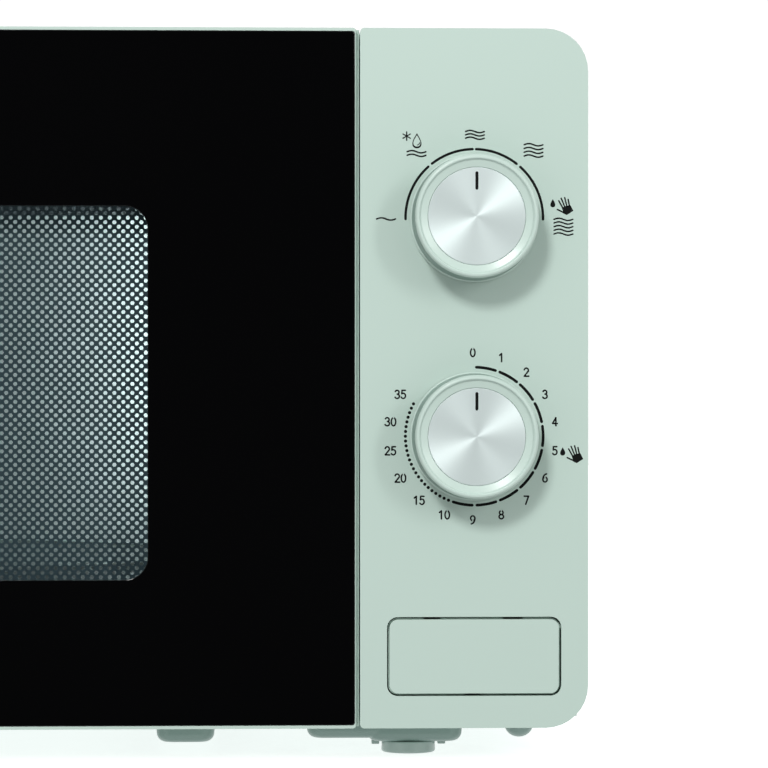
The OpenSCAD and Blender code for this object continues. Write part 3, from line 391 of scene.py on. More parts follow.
LABEL_R = 29.4
LABEL_PEN = 0.56
LABEL_STEP = 2.15                    # between the figures of one number
LABEL_SHIFT = -0.55
LABEL_SIZE = (0.82, 0.86)            # width and height of the figures against the strokes below
six = [bow(0, -0.65, 0.92, 1.0, 0, 360), bow(0.75, -0.65, 1.67, 2.3, -90, -3, 8)]
figures = {
    "0": [bow(0, 0, 0.95, 1.65, 0, 360, 24)],
    "1": [[(-0.72, 0.95), (0.12, 1.65)], [(0.12, 1.65), (0.12, -1.65)]],
    "2": [bow(-0.05, 0.72, 0.9, 0.93, -75, 105), [(0.78, 0.4), (-0.92, -1.65)], [(-0.92, -1.65), (1.0, -1.65)]],
    "3": [bow(-0.08, 0.85, 0.82, 0.8, -65, 170), bow(-0.08, -0.76, 0.98, 0.89, 5, 245)],
    "4": [[(0.4, -1.65), (0.4, 1.65)], [(0.4, 1.65), (-1.0, -0.75)], [(-1.0, -0.75), (1.05, -0.75)]],
    "5": [[(0.82, 1.65), (-0.62, 1.65)], [(-0.62, 1.65), (-0.72, 0.25)], bow(-0.1, -0.58, 0.98, 1.07, -38, 240)],
    "6": six,
    "7": [[(-0.95, 1.65), (0.92, 1.65)], [(0.92, 1.65), (-0.3, -1.65)]],
    "8": [bow(0, 0.86, 0.78, 0.79, 0, 360), bow(0, -0.78, 0.97, 0.87, 0, 360)],
    "9": [[(-x, -z) for x, z in line] for line in six]}
labels = [(str(i), 20 * i) for i in range(11)] + [("15", 220), ("20", 240), ("25", 260), ("30", 280), ("35", 300)]
shapes = []
for text, angle in labels:
    x, z = arc(LABEL_R, angle, angle, 1)[0]
    for place, figure in enumerate(text):
        shift = LABEL_STEP * (place - (len(text) - 1) / 2) + LABEL_SHIFT
        shapes += [(x + shift, z, stroke([(LABEL_SIZE[0] * p[0], LABEL_SIZE[1] * p[1]) for p in line], LABEL_PEN), [])
                   for line in figures[figure]]
printed("timer_numbers", shapes, timer_at)
printed("timer_wet_hand", wet_hand(35.6, -6.6), timer_at)

# ---------------- knobs
# Each knob is an ABS cup with a sloped inner lip round a spun aluminium disc,
# pushed onto a D-shaped steel shaft.


def skin(rings, closed=False, caps=True):
    """Joins rings of points into a surface. Closed joins the last ring to the first."""
    bm = bmesh.new()
    rows = [[bm.verts.new(p) for p in ring] for ring in rings]
    n = len(rows[0])
    for k in range(len(rows) if closed else len(rows) - 1):
        a, b = rows[k], rows[(k + 1) % len(rows)]
        for i in range(n):
            bm.faces.new((a[i], a[(i + 1) % n], b[(i + 1) % n], b[i]))
    if caps and not closed:
        bm.faces.new(rows[0][::-1])
        bm.faces.new(rows[-1])
    bmesh.ops.recalc_face_normals(bm, faces=bm.faces)
    return bm


def turn(profile, centre, axis="Y", steps=128, closed=False):
    """A turned shape: profile holds (radius, height) in millimetres, height along -Y or +Z."""
    def point(r, h, a):
        c, s = r * MM * cos(a), r * MM * sin(a)
        return Vector((c, -h * MM, s) if axis == "Y" else (c, s, h * MM)) + Vector(centre)
    return skin([[point(r, h, tau * i / steps) for i in range(steps)] for r, h in profile], closed)


def fillet(corners, radius, steps=4):
    """Rounds the inner corners of an open profile of (radius, height) pairs."""
    out = [corners[0]]
    for a, b, c in zip(corners, corners[1:], corners[2:]):
        p, q, s = Vector(a), Vector(b), Vector(c)
        r = min(radius, (p - q).length * 0.45, (s - q).length * 0.45)
        start, end = q + (p - q).normalized() * r, q + (s - q).normalized() * r
        out += [tuple(start.lerp(q, t).lerp(q.lerp(end, t), t)) for t in [i / steps for i in range(steps + 1)]]
    return out + [corners[-1]]


disc_low, disc_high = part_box("power_knob_disc")
knob_low, knob_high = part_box("power_knob")
DISC_R = (disc_high.x - disc_low.x) / 2 / MM
KNOB_R = (knob_high.x - knob_low.x) / 2 / MM
KNOB_H = (FACE - knob_low.y) / MM
DISC_H = KNOB_H - 1.9                # the disc lies this deep in the cup's sloped lip

spun, tree, shader = material("spun_aluminium", Base_Color=colour("E4EFEE"), Metallic=0.55, Roughness=0.55,
                              Anisotropic=0.82)
around = add(tree, "ShaderNodeTangent", direction_type="RADIAL", axis="Y")
tree.links.new(around.outputs[0], shader.inputs["Tangent"])

knob_abs = surface("gloss_sage_abs", "CADCD4", "C6D9D0", 60, 0.5, 0.003, 0.26, 0.32, IOR=1.53)
# Darker sage for the knob's side wall: painted shade, standing in for the shade that falls on the side of the cup.
knob_side_painted_shade = surface("sage_abs_painted_side_shade", "7F9A91", "799389", 60, 0.5, 0.003, 0.3, 0.38, IOR=1.53)
for which in ("power", "timer"):
    centre = middle(which + "_knob_disc")
    centre.y = FACE
    cup = fillet([(DISC_R - 1, DISC_H - 0.6), (DISC_R + 0.1, DISC_H - 0.6), (DISC_R + 0.1, DISC_H + 0.1),
                  (DISC_R + 2.6, DISC_H + 0.92), (DISC_R + 3.1, KNOB_H - 0.12),
                  (DISC_R + 3.3, KNOB_H - 0.02), (DISC_R + 3.9, KNOB_H - 0.1),
                  (DISC_R + 4.5, KNOB_H - 0.7), (KNOB_R - 1.0, KNOB_H - 1.6), (KNOB_R - 0.5, 1.9), (KNOB_R, 1.7),
                  (KNOB_R, 0.6), (KNOB_R - 2.1, 0.6), (KNOB_R - 2.9, DISC_H - 2.4), (DISC_R - 1, DISC_H - 2.4)], 0.22)
    made = piece(which + "_knob_cup", turn(cup, centre, closed=True), knob_abs, which + "_dial")
    # The side wall's faces take the darker sage of painted shade.
    coat(made, knob_side_painted_shade, lambda c: 2 * MM < FACE - c.y < (KNOB_H - 1.2) * MM
         and Vector((c.x - centre.x, c.z - centre.z)).length > (KNOB_R - 1.3) * MM)
    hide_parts(which + "_knob")
    rim = fillet([(0.4, DISC_H - 0.75), (DISC_R, DISC_H - 0.75), (DISC_R, DISC_H - 0.04), (DISC_R - 0.1, DISC_H),
                  (0.4, DISC_H)], 0.2)
    disc = piece(which + "_disc_face", turn([(0.0005, DISC_H - 0.75)] + rim + [(0.0005, DISC_H)], centre),
                 spun, which + "_dial")
    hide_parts(which + "_knob_disc")
    printed(which + "_pointer", [(0, 0, stroke([(0, DISC_R - 1.9), (0, DISC_R - 7.3)], 1.05), [])],
            centre, which + "_dial", FACE - DISC_H * MM)

# ---------------- door glass
# A flat float-glass sheet in the door's rim, printed black on its back except for a
# clear window with rounded corners.


def rounded(x0, z0, x1, z1, radii, steps=10):
    """Points of a rectangle with its own radius at each corner, from the lower left, in metres."""
    out = []
    corners = [(x0, z0, 1, 1, 180), (x1, z0, -1, 1, 270), (x1, z1, -1, -1, 0), (x0, z1, 1, -1, 90)]
    for (x, z, sx, sz, a), r in zip(corners, radii):
        for i in range(steps + 1):
            t = radians(a + 90 * i / steps)
            out.append((x + sx * r + r * cos(t), z + sz * r + r * sin(t)))
    return out


glass_low, glass_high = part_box("door_glass")
film_low, film_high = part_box("door_film")
WIN_MARGIN = 12.8 * MM
WIN_R = 8 * MM
win = (film_low.x + WIN_MARGIN, film_low.z + WIN_MARGIN, film_high.x - WIN_MARGIN, film_high.z - WIN_MARGIN)
window = rounded(*win, [WIN_R] * 4)
CORNER = 13.8 * MM
edge = rounded(glass_low.x, glass_low.z, glass_high.x, glass_high.z, [CORNER, 0.9 * MM, 0.9 * MM, CORNER])

black_print = surface("black_printed_glass", "020203", "040405", 120, 3, 0.0, 0.045, 0.06, IOR=1.52,
                      Specular_IOR_Level=0.5)
border = piece("door_glass_border", plate(edge, [window], glass_low.y, glass_high.y, 0.25), black_print, "door")
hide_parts("door_glass")

clear_glass = material("tinted_float_glass", Base_Color=colour("1D2C31"), Roughness=0.02, IOR=1.52, Alpha=0.12)[0]
piece("door_window_pane", plate(window, [], glass_low.y + 0.1 * MM, glass_high.y - 0.1 * MM), clear_glass, "door")

# ---------------- button skirt
# A thin ledge moulded round the button just behind its face, which hides most of the gap
# beside it. It is notched where the mould's slides part.
BUTTON_SIZE = (59.6 * MM, 26 * MM)
SKIRT = 0.52 * MM                    # how far the ledge stands out
SKIRT_W = 2.4 * MM
NOTCH = 1.1 * MM
button_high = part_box("open_button")[1]
hub_x = middle("open_button").x


def notches(z, depth, spans):
    """Corners of the notches between x values in millimetres, along an edge at z."""
    return [(hub_x + x * MM, z + d) for a, b in spans for x, d in ((a, 0), (a, depth), (b, depth), (b, 0))]


left, right = [hub_x + side * (BUTTON_SIZE[0] / 2 + SKIRT) for side in (-1, 1)]
foot, head = button_high.z - BUTTON_SIZE[1] - SKIRT, button_high.z + SKIRT
rim = rounded(left, foot, right, head, [3.6 * MM] * 4)
skirt = (rim[:11] + notches(foot, NOTCH, [(-3.2, 2.2)]) + rim[11:33]
         + notches(head, -NOTCH, [(17.2, 10.2), (-11.8, -17.8)]) + rim[33:])
inside = rounded(left + SKIRT_W, foot + SKIRT_W, right - SKIRT_W, head - SKIRT_W, [1.6 * MM] * 4)
piece("open_button_skirt", plate(skirt, [inside], FACE + 2.2 * MM, FACE + 2.8 * MM), sage_abs, "button")

# ---------------- perforated screen
# Punched steel sheet, painted dark slate, that keeps the microwaves in: round holes in
# staggered rows over the whole window, and a pressed rim round them.
PITCH = 3.18 * MM                    # between holes along a row
HOLE = 0.79 * MM                     # radius
SHEET = 0.5 * MM
SPARE = 2.2 * MM                     # holes go on past the window's edge
screen_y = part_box("door_screen")[0].y
slate_paint = surface("slate_painted_steel", "34484F", "2E4148", 40, 0.4, 0.004, 0.5, 0.6, Specular_IOR_Level=0.3)

# One diamond of sheet round one hole; the diamonds join edge to edge
half = PITCH / 2
corners = [(half, 0, 0), (0, 0, half), (-half, 0, 0), (0, 0, -half)]
ring = [(HOLE * cos(a), 0, HOLE * sin(a)) for a in [tau * i / 6 for i in range(6)]]
bm = bmesh.new()
outer = [bm.verts.new(p) for p in corners]
inner = [bm.verts.new(p) for p in ring]
for o, i, j in ((0, 5, 0), (0, 0, 1), (1, 1, 2), (2, 2, 3), (2, 3, 4), (3, 4, 5)):
    bm.faces.new((outer[o], inner[j], inner[i]))
for o, i in ((0, 1), (1, 2), (2, 4), (3, 5)):
    bm.faces.new((outer[o], outer[(o + 1) % 4], inner[i]))
bmesh.ops.recalc_face_normals(bm, faces=bm.faces)
cell = bpy.data.objects.new("screen_cell", mesh_of("screen_cell", bm))

tree, g, result = geometry_tree("perforated_sheet", [
    ("Cell", "Object", None), ("Width", "Float", 0.2), ("Height", "Float", 0.1), ("Pitch", "Float", 0.003),
    ("Thickness", "Float", 0.0005), ("Centre", "Vector", (0, 0, 0)), ("Finish", "Material", None)])


def maths(operation, a, b=0.0):
    """A calculation on one or two sockets or numbers."""
    return add(tree, "ShaderNodeMath", {0: a, 1: b}, operation=operation)


step = maths("MULTIPLY", g["Pitch"], sqrt(0.5))
whole = maths("CEIL", maths("DIVIDE", maths("ADD", g["Width"], g["Height"]), step))
size = maths("MULTIPLY", whole, step)
across = maths("ADD", whole, 1.0)
grid = add(tree, "GeometryNodeMeshGrid", {"Size X": size, "Size Y": size, "Vertices X": across,
                                          "Vertices Y": across})
tilted = add(tree, "GeometryNodeTransform", {"Geometry": grid.outputs["Mesh"],
                                             "Rotation": (radians(90), radians(45), 0)})
at = add(tree, "ShaderNodeSeparateXYZ", {"Vector": add(tree, "GeometryNodeInputPosition")})
past = [maths("GREATER_THAN", maths("ABSOLUTE", at.outputs[side]), maths("MULTIPLY", g[length], 0.5))
        for side, length in (("X", "Width"), ("Z", "Height"))]
kept = add(tree, "GeometryNodeDeleteGeometry", {"Geometry": tilted, "Selection": maths("MAXIMUM", *past)})
punched = add(tree, "GeometryNodeInstanceOnPoints", {
    "Points": kept,
    "Instance": add(tree, "GeometryNodeObjectInfo", {"Object": g["Cell"]}).outputs["Geometry"]})
real = add(tree, "GeometryNodeRealizeInstances", {"Geometry": punched})
joined = add(tree, "GeometryNodeMergeByDistance", {"Geometry": real, "Distance": WELD})
back = add(tree, "GeometryNodeExtrudeMesh", {"Mesh": joined, "Offset": (0, 1, 0),
                                             "Offset Scale": g["Thickness"], "Individual": False})
front = add(tree, "GeometryNodeFlipFaces", {"Mesh": joined})
both = add(tree, "GeometryNodeJoinGeometry")
tree.links.new(front.outputs[0], both.inputs[0])
tree.links.new(back.outputs["Mesh"], both.inputs[0])
closed = add(tree, "GeometryNodeMergeByDistance", {"Geometry": both, "Distance": WELD})
placed = add(tree, "GeometryNodeTransform", {"Geometry": closed, "Translation": g["Centre"]})
coated = add(tree, "GeometryNodeSetMaterial", {"Geometry": placed, "Material": g["Finish"]})
tree.links.new(coated.outputs[0], result)

screen = grow("door_screen_mesh", tree, {
    "Cell": cell, "Width": win[2] - win[0] + 2 * SPARE, "Height": win[3] - win[1] + 2 * SPARE,
    "Pitch": PITCH, "Thickness": SHEET, "Finish": slate_paint,
    "Centre": ((win[0] + win[2]) / 2, screen_y, (win[1] + win[3]) / 2)}, slate_paint, "door")
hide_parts("door_screen")

# Pressed rim of the screen: a flat frame round the holes, a wall back to the door's
# inner face, a flange there and a lip turned forwards at its outer edge
cav_low, cav_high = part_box("cavity_back")
RIM_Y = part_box("choke_cover")[0].y


def grown(box, by, radius):
    """Points of a rounded rectangle, grown outwards by a distance."""
    return rounded(box[0] - by, box[1] - by, box[2] + by, box[3] + by, [radius] * 4)


MOUTH_GAP = 4.8 * MM                 # between the lip and the cooking space's walls
pan_box = (cav_low.x + MOUTH_GAP, cav_low.z + MOUTH_GAP, cav_high.x - MOUTH_GAP, cav_high.z - MOUTH_GAP)
WIN_MM = WIN_R / MM
# Each ring: the box it follows, how far outside it, its corner radius, and its depth in
# millimetres behind the screen or the door's inner face
pan_profile = [(win, 1.4, WIN_MM + 1, screen_y, -0.15), (win, 10.2, WIN_MM + 9, screen_y, -0.15),
               (win, 11, WIN_MM + 10, screen_y, 1.2), (win, 11, WIN_MM + 10, RIM_Y, -1.2),
               (win, 11.8, WIN_MM + 11, RIM_Y, -0.05), (pan_box, -1, 3, RIM_Y, -0.05), (pan_box, 0, 4, RIM_Y, -1),
               (pan_box, 0, 4, RIM_Y, -9), (pan_box, -0.7, 3.3, RIM_Y, -9), (pan_box, -0.7, 3.3, RIM_Y, -0.85),
               (win, 11.1, WIN_MM + 10.5, RIM_Y, -0.85), (win, 10.3, WIN_MM + 9.3, RIM_Y, -1.2),
               (win, 10.3, WIN_MM + 9.3, screen_y, 0.55), (win, 1.4, WIN_MM + 1, screen_y, 0.55)]
pan = skin([[(x, y + off * MM, z) for x, z in grown(box, by * MM, r * MM)] for box, by, r, y, off in pan_profile],
           closed=True)
piece("door_pan", pan, slate_paint, "door")

# ---------------- door frame
# ABS moulding that holds the glass at the front and carries the hinge bores. Its rim
# beside the panel slopes back, and a low lip below it hides the gap there.
frame_low, frame_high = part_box("door_frame")
bm = rounded_copy("door_frame", 0.35)
SLOPE_W = 0.6 * MM
for v in bm.verts:
    over = v.co.x - (frame_high.x - SLOPE_W)
    if over > 0 and v.co.y < FACE + 0.6 * MM:
        v.co.y += 1.1 * over
made = piece("door_frame_skin", bm, sage_abs, "door")
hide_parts("door_frame")
# Section of the lip in millimetres: x from the frame's edge, y from the panel's face
LIP = [(-0.8, 2.2), (0.75, 2.2), (0.9, 2.4), (0.9, 3.2), (-0.8, 3.2)]
lip_rings = [[(frame_high.x + x * MM, FACE + y * MM, z) for x, y in LIP]
             for z in (frame_low.z + 0.6 * MM, frame_high.z - 0.6 * MM)]
piece("door_edge_lip", skin(lip_rings), sage_abs, "door")

# ---------------- door's inner side
# A grey polypropylene cover clips over the choke round the window, over a clear film that
# is held by a strip of tape along its top edge.
soft_grey = surface("grained_grey_plastic", "5A6163", "555C5E", 60, 0.5, 0.02, 0.5, 0.6, IOR=1.49)
refine("choke_cover", soft_grey, 0.5)
film = material("clear_polyester_film", Base_Color=colour("DDE6E8"), Roughness=0.08, Alpha=0.08)[0]
nodes["door_film"].data.materials.clear()
nodes["door_film"].data.materials.append(film)
tape = material("grey_adhesive_tape", Base_Color=colour("647B85"), Roughness=0.6, Alpha=0.6)[0]
TAPE_LAP = 1.5 * MM                  # past the window's edges
strip = rounded(win[0] - TAPE_LAP, win[3] - 2.6 * MM, win[2] + TAPE_LAP, win[3] + TAPE_LAP, [0.5 * MM] * 4, 3)
piece("door_film_tape", plate(strip, [], screen_y - 0.7 * MM, screen_y - 0.5 * MM), tape, "door")

# ---------------- latch and release
# Two-hook acetal latch in the door on a pull spring, and the slider that the button lifts.
acetal = surface("white_acetal", "E4E2DA", "DEDCD2", 30, 0.5, 0.004, 0.36, 0.44, IOR=1.48)
spring_wire = surface("spring_steel_wire", "A9AAAC", "97989B", 6, 0.3, 0.003, 0.24, 0.34, Metallic=1.0)
refine("door_latch release_slider interlock_bracket", acetal, 0.3)

# A close-wound pull spring with an eye at each end, in the space of its plain rod
low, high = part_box("latch_spring")
mid = middle("latch_spring")
WIRE = 0.32
coil_r = (high.x - low.x) / 2 / MM - WIRE
length = (high.z - low.z) / MM
TURNS = 26
TURN_STEPS = 14
CLOSE_PART = 0.76                    # of the spring's length is coil, the rest is eyes
path = []
for i in range(TURNS * TURN_STEPS + 1):
    a = tau * i / TURN_STEPS
    rise = CLOSE_PART * (i / (TURNS * TURN_STEPS) - 0.5)
    path.append(mid + Vector((coil_r * cos(a), coil_r * sin(a), length * rise)) * MM)


def rod(path, radius, steps=8):
    """A round wire of a radius in millimetres along points."""
    rings = []
    side = None
    for i, p in enumerate(path):
        way = (path[min(i + 1, len(path) - 1)] - path[max(i - 1, 0)]).normalized()
        side = way.orthogonal().normalized() if side is None else (side - way * side.dot(way)).normalized()
        other = way.cross(side)
        rings.append([p + (side * cos(tau * k / steps) + other * sin(tau * k / steps))
                      * radius * MM for k in range(steps)])
    return skin(rings)


def eye(centre, radius, steps=16):
    """A wire ring in the XZ plane."""
    ring = [centre + Vector((radius * sin(tau * i / steps), 0, radius * cos(tau * i / steps))) * MM
            for i in range(steps + 1)]
    return rod(ring, WIRE, 6)


eye_r = coil_r * 0.9
ends = [mid + Vector((0, 0, s * (length / 2 - eye_r - WIRE) * MM)) for s in (-1, 1)]
made = piece("latch_spring_coil", merged([rod(path, WIRE, 6)] + [eye(e, eye_r) for e in ends]), spring_wire,
             "door")
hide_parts("latch_spring")

black_pbt = surface("black_pbt", "1B1C1E", "232426", 15, 0.3, 0.004, 0.42, 0.52)
refine("interlock_switches", black_pbt, 0.25)

# ---------------- hinges
# Zinc-plated steel stampings with a riveted pin, each held by one screw.
zinc = surface("zinc_plated_steel", "A7ACAD", "93999B", 14, 0.35, 0.003, 0.3, 0.44, Metallic=1.0)
refine("upper_hinge lower_hinge", zinc, 0.3)

# ---------------- screws
# Zinc-plated self-tapping screws with a domed washer head and a cross recess.
THREAD_PITCH = 1.0
HEAD_H = 1.45


def screw(radius, length, way):
    """A cross-head screw about the origin, its head's underside at the origin, along a way."""
    profile = [(0.0005, -length), (radius * 0.3, -length + 1.2), (radius * 0.48, -length + 1.8)]
    for i in range(int((length - 2) / THREAD_PITCH)):
        h = -length + 2 + THREAD_PITCH * i
        profile += [(radius * 0.42, h), (radius * 0.55, h + THREAD_PITCH / 2)]
    profile += [(radius * 0.45, 0), (radius, 0), (radius, 0.45), (radius * 0.85, 1.0), (radius * 0.5, 1.35),
                (radius * 0.3, 1.42), (radius * 0.26, 0.7), (0.0005, 0.55)]
    parts = [turn(profile, (0, 0, 0), "Z", 24)]
    for i in range(2):
        blade = bmesh.new()
        slab = Matrix.Diagonal((radius * 1.05 * MM, 0.36 * MM, 0.14 * MM, 1))
        bmesh.ops.create_cube(blade, size=1, matrix=Matrix.Rotation(radians(90 * i), 4, "Z")
                              @ Matrix.Translation((0, 0, 1.36 * MM)) @ slab)
        parts.append(blade)
    bm = merged(parts)
    bmesh.ops.rotate(bm, verts=bm.verts, cent=(0, 0, 0), matrix=Vector(way).to_track_quat("Z", "Y").to_matrix())
    return bm


def islands(node):
    """Boxes of the separate solids of a CAD piece."""
    bm = welded(node)
    left = set(bm.verts)
    found = []
    while left:
        stack, group = [left.pop()], []
        while stack:
            v = stack.pop()
            group.append(v.co.copy())
            for e in v.link_edges:
                o = e.other_vert(v)
                if o in left:
                    left.remove(o)
                    stack.append(o)
        low = Vector([min(c[k] for c in group) for k in range(3)])
        high = Vector([max(c[k] for c in group) for k in range(3)])
        found.append((low, high))
    bm.free()
    return sorted(found, key=lambda b: tuple(b[0]))


def place_screws(node, radius, way):
    """A screw in the place of each solid of a node, its head at the way's end."""
    parts = []
    for low, high in islands(node):
        mid = (low + high) / 2
        length = (high.y - low.y) / MM - 1.5
        head = high.y - HEAD_H * MM if way[1] > 0 else low.y + HEAD_H * MM
        one = screw(radius, length, way)
        bmesh.ops.translate(one, verts=one.verts, vec=(mid.x, head, mid.z))
        parts.append(one)
    made = piece(node + "_heads", merged(parts), zinc, body_of(node), 35)
    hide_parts(node)


place_screws("rear_screws", 3.25, (0, 1, 0))
place_screws("hinge_screws", 3.0, (0, 1, 0))

# ---------------- front frame
# Pressed steel frame round the mouth of the cooking space, painted with the case.
frame_paint = surface("sage_frame_paint", "AFC3BA", "A9BEB4", 80, 0.8, 0.01, 0.34, 0.46)
refine("front_frame", frame_paint, 0.5)

# ---------------- cooking space
# Five enamelled steel sheets, spot welded. A mica sheet covers the port of the waveguide
# in the right side.
enamel = surface("light_grey_enamel", "CBCFCD", "C3C8C5", 70, 1.1, 0.008, 0.2, 0.3)
refine("cavity_floor cavity_roof cavity_left cavity_right cavity_back", enamel, 0.12)
mica = surface("pressed_mica", "B7AB92", "A1957C", 4, 0.8, 0.02, 0.34, 0.6)
refine("waveguide_cover", mica, 0.12)

# ---------------- glass tray
# Pressed soda glass with a raised rim, a ring that runs on the rollers and three lugs
# that the coupler turns.
tray_glass = material("pressed_tray_glass", Base_Color=colour("8FA3A1"), Roughness=0.05, IOR=1.52, Alpha=0.35)[0]
tray_low, tray_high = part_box("glass_tray")
TRAY_C = ((tray_low.x + tray_high.x) / 2, (tray_low.y + tray_high.y) / 2, tray_low.z + 4 * MM)
TRAY_R = (tray_high.x - tray_low.x) / 2 / MM
RIM = (tray_high.z - TRAY_C[2]) / MM
profile = fillet([(0.0005, 0), (TRAY_R - 32, 0), (TRAY_R - 31, 0.35), (TRAY_R - 15, 0.35), (TRAY_R - 14, 0),
                  (TRAY_R - 3, 4.5), (TRAY_R, 8.2), (TRAY_R, RIM - 0.6), (TRAY_R - 0.8, RIM), (TRAY_R - 2.2, RIM),
                  (TRAY_R - 4.5, 7.5), (TRAY_R - 13, 4.4), (TRAY_R - 40, 4.2), (TRAY_R - 41, 4.6), (TRAY_R - 42, 4.2),
                  (0.0005, 4.2)], 1.2, 3)
LUG_R = 12.5 * MM                    # ring on which the lugs stand
LUG = fillet([(0.0005, -4), (2.3, -4), (2.6, -0.2), (3.2, 0.1), (0.0005, 0.1)], 0.6)
lugs = []
for k in range(3):
    a = radians(60 + 120 * k)
    at = (TRAY_C[0] + LUG_R * cos(a), TRAY_C[1] + LUG_R * sin(a), TRAY_C[2])
    lugs.append(turn(LUG, at, "Z", 24))
made = piece("turntable_plate", merged([turn(profile, TRAY_C, "Z", 160)] + lugs), tray_glass, "tray")
# The top of the tray's rim is opaque and pale: a painted highlight, standing in for the light the glass rim catches.
tray_rim_painted_highlight = surface("tray_rim_glass_painted_highlight", "DCE9E6", "D2E0DC", 8, 0.4, 0.01, 0.25, 0.4, IOR=1.52)
coat(made, tray_rim_painted_highlight, lambda c: c.z > TRAY_C[2] + (RIM - 1.3) * MM
     and Vector((c.x - TRAY_C[0], c.y - TRAY_C[1])).length > (TRAY_R - 2.6) * MM)
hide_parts("glass_tray")

# ---------------- roller ring and coupler
# White nylon mouldings: a ring with three stub axles, three rollers, and the three-armed
# coupler on the motor's shaft.
nylon = surface("white_nylon", "E6E4DB", "DFDCD1", 25, 0.5, 0.004, 0.4, 0.5, IOR=1.48)
refine("roller_ring turntable_coupler", nylon, 0.35)
refine("roller_1 roller_2 roller_3", nylon, 0.3)

# ---------------- outer case
# One steel sheet folded over the top and both sides, powder coated, with two rows of
# louvres pressed out of each side.
powder = surface("sage_powder_coat", "BFD2C9", "BACEC4", 150, 0.9, 0.012, 0.36, 0.48)
refine("outer_case", powder, 0.35)


def louvre(length, width, rise):
    """A pressed louvre hood about the origin, in the YZ plane, bulging along +X and open along +Y."""
    rings = []
    for i in range(9):
        t = i / 8
        half = length / 2 * sin(pi * min(max(t, 0.04), 0.96)) ** 0.15
        z = (t - 0.5) * length
        lift = rise * sin(pi * min(max(t, 0.02), 0.98)) ** 0.4
        outer = [(0, -width / 2), (lift * 0.6, -width * 0.2), (lift, width * 0.25), (lift * 1.02, width / 2)]
        thin = [(max(x - 0.35, -0.2), y + 0.05) for x, y in outer[::-1]]
        rings.append([Vector((x, y, z)) * MM for x, y in outer + thin])
    return skin(rings)


case_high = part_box("outer_case")[1]
LOUVRES = 12                         # in a row
LOUVRE_STEP = 7 * MM
VENT_Y = case_high.y - 32.5 * MM
VENT_Z = (89.5, 133.5)               # middles of the two rows
for side, name in ((1, "right"), (-1, "left")):
    for row, z in enumerate(VENT_Z):
        repeat("louvres_%s_%d" % (name, row + 1), louvre(36, 5.4, 0.85), LOUVRES, (side * case_high.x, VENT_Y, z * MM),
               powder, "cabinet", step=(0, -LOUVRE_STEP, 0),
               turn=(0, 0, 0 if side > 0 else pi))

# ---------------- rear panel
# Zinc-plated sheet with an inlet grille for the fan, outlet slots, two grey spacer pads
# and the rubber gland of the supply cord.
refine("rear_panel", zinc, 0.12)
refine("rear_spacers", soft_grey, 1.2)
rubber = surface("black_rubber", "17181A", "1F2022", 12, 0.3, 0.006, 0.55, 0.68)
refine("cord_gland", rubber, 0.5)

# ---------------- base plate
# Pressed steel floor of the oven: long pads and corner pads are pressed down out of it
# with generous radii, and it is painted like the frame.
under_paint = surface("sage_under_paint", "AAC3BC", "A1BBB3", 60, 0.9, 0.01, 0.24, 0.34)
base_low, base_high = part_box("base_plate")
FOOT_R = 9.8
FOOT_H = 4.2
foot_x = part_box("front_feet")[1].x / MM - FOOT_R
foot_rows = [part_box(node)[0].y / MM + FOOT_R for node in ("front_feet", "rear_feet")]
STEEL = 0.8                          # thickness of the sheet
UNDER = base_high.z / MM - STEEL
DEPTH = UNDER - FOOT_H
PAN_R = 5.2                          # corner radius where a pan leaves the sheet
PAD_X = (-37.7, 19.9)                # pads round a foot: inwards and outwards from its middle,
PAD_Y = (-11, 14)                    # forwards and backwards
BOSS_R = 5.2
BOSS_H = 9.1
BOSS_X = foot_x + 40
boss_y = base_low.y + 8 * MM


def pressed(box, depth, slope=0.8, bend=3.4):
    """A pan pressed down from the plate: bowl-shaped sides, and a flange as thick as the plate."""
    def ring(by, z, radius):
        return [(x, y, z * MM) for x, y in rounded(*[(v + s * by) * MM for v, s in zip(box, (1, 1, -1, -1))],
                                                   [max(radius, 0.6) * MM] * 4, 6)]
    down = [(slope + bend * (1 - sin(a)), UNDER - depth + bend * (1 - cos(a)))
            for a in [radians(15 * i) for i in range(7)]]
    up = [(0.35, UNDER - 0.7), (0, UNDER)]
    outer = [ring(by, z, PAN_R - 0.5 * by) for by, z in down + up]
    inner = [ring(by + 0.75, z + STEEL, PAN_R - STEEL - 0.5 * by) for by, z in (down + up)[::-1]]
    return skin(outer + inner)


def beside_foot(side, y, x0, x1):
    """Box of a pad between two distances from a foot's middle."""
    ends = sorted((side * (foot_x + x0), side * (foot_x + x1)))
    return ends[0], y + PAD_Y[0], ends[1], y + PAD_Y[1]


door_mid = middle("door_frame").x / MM
RUNNER_HALF = 11.2                   # half the width of the two long pads
pans = [((x - RUNNER_HALF, base_low.y / MM + 0.5, x + RUNNER_HALF, base_high.y / MM - 24), DEPTH)
        for x in (37 - door_mid, 3 * door_mid + 5)]
floor_holes = [box for box, depth in pans]
for side in (1, -1):
    for y in foot_rows:
        pans += [(beside_foot(side, y, PAD_X[0], -6), DEPTH - 1.3), (beside_foot(side, y, -16, PAD_X[1]), DEPTH)]
        floor_holes.append(beside_foot(side, y, *PAD_X))
shells = [pressed(box, depth) for box, depth in pans]
dome = [(BOSS_R * sin(a) + 0.0005, 4.6 - 4.6 * cos(a)) for a in [radians(9 * i) for i in range(11)]]
profile = [(r, UNDER - BOSS_H + h) for r, h in dome] + [(BOSS_R, UNDER), (BOSS_R - STEEL, UNDER)]
profile += [(r * 0.85 + 0.0005, UNDER - BOSS_H + STEEL + h * 0.9) for r, h in dome[::-1]]
holes = [rounded(*[v * MM for v in box], [PAN_R * MM] * 4, 6) for box in floor_holes]
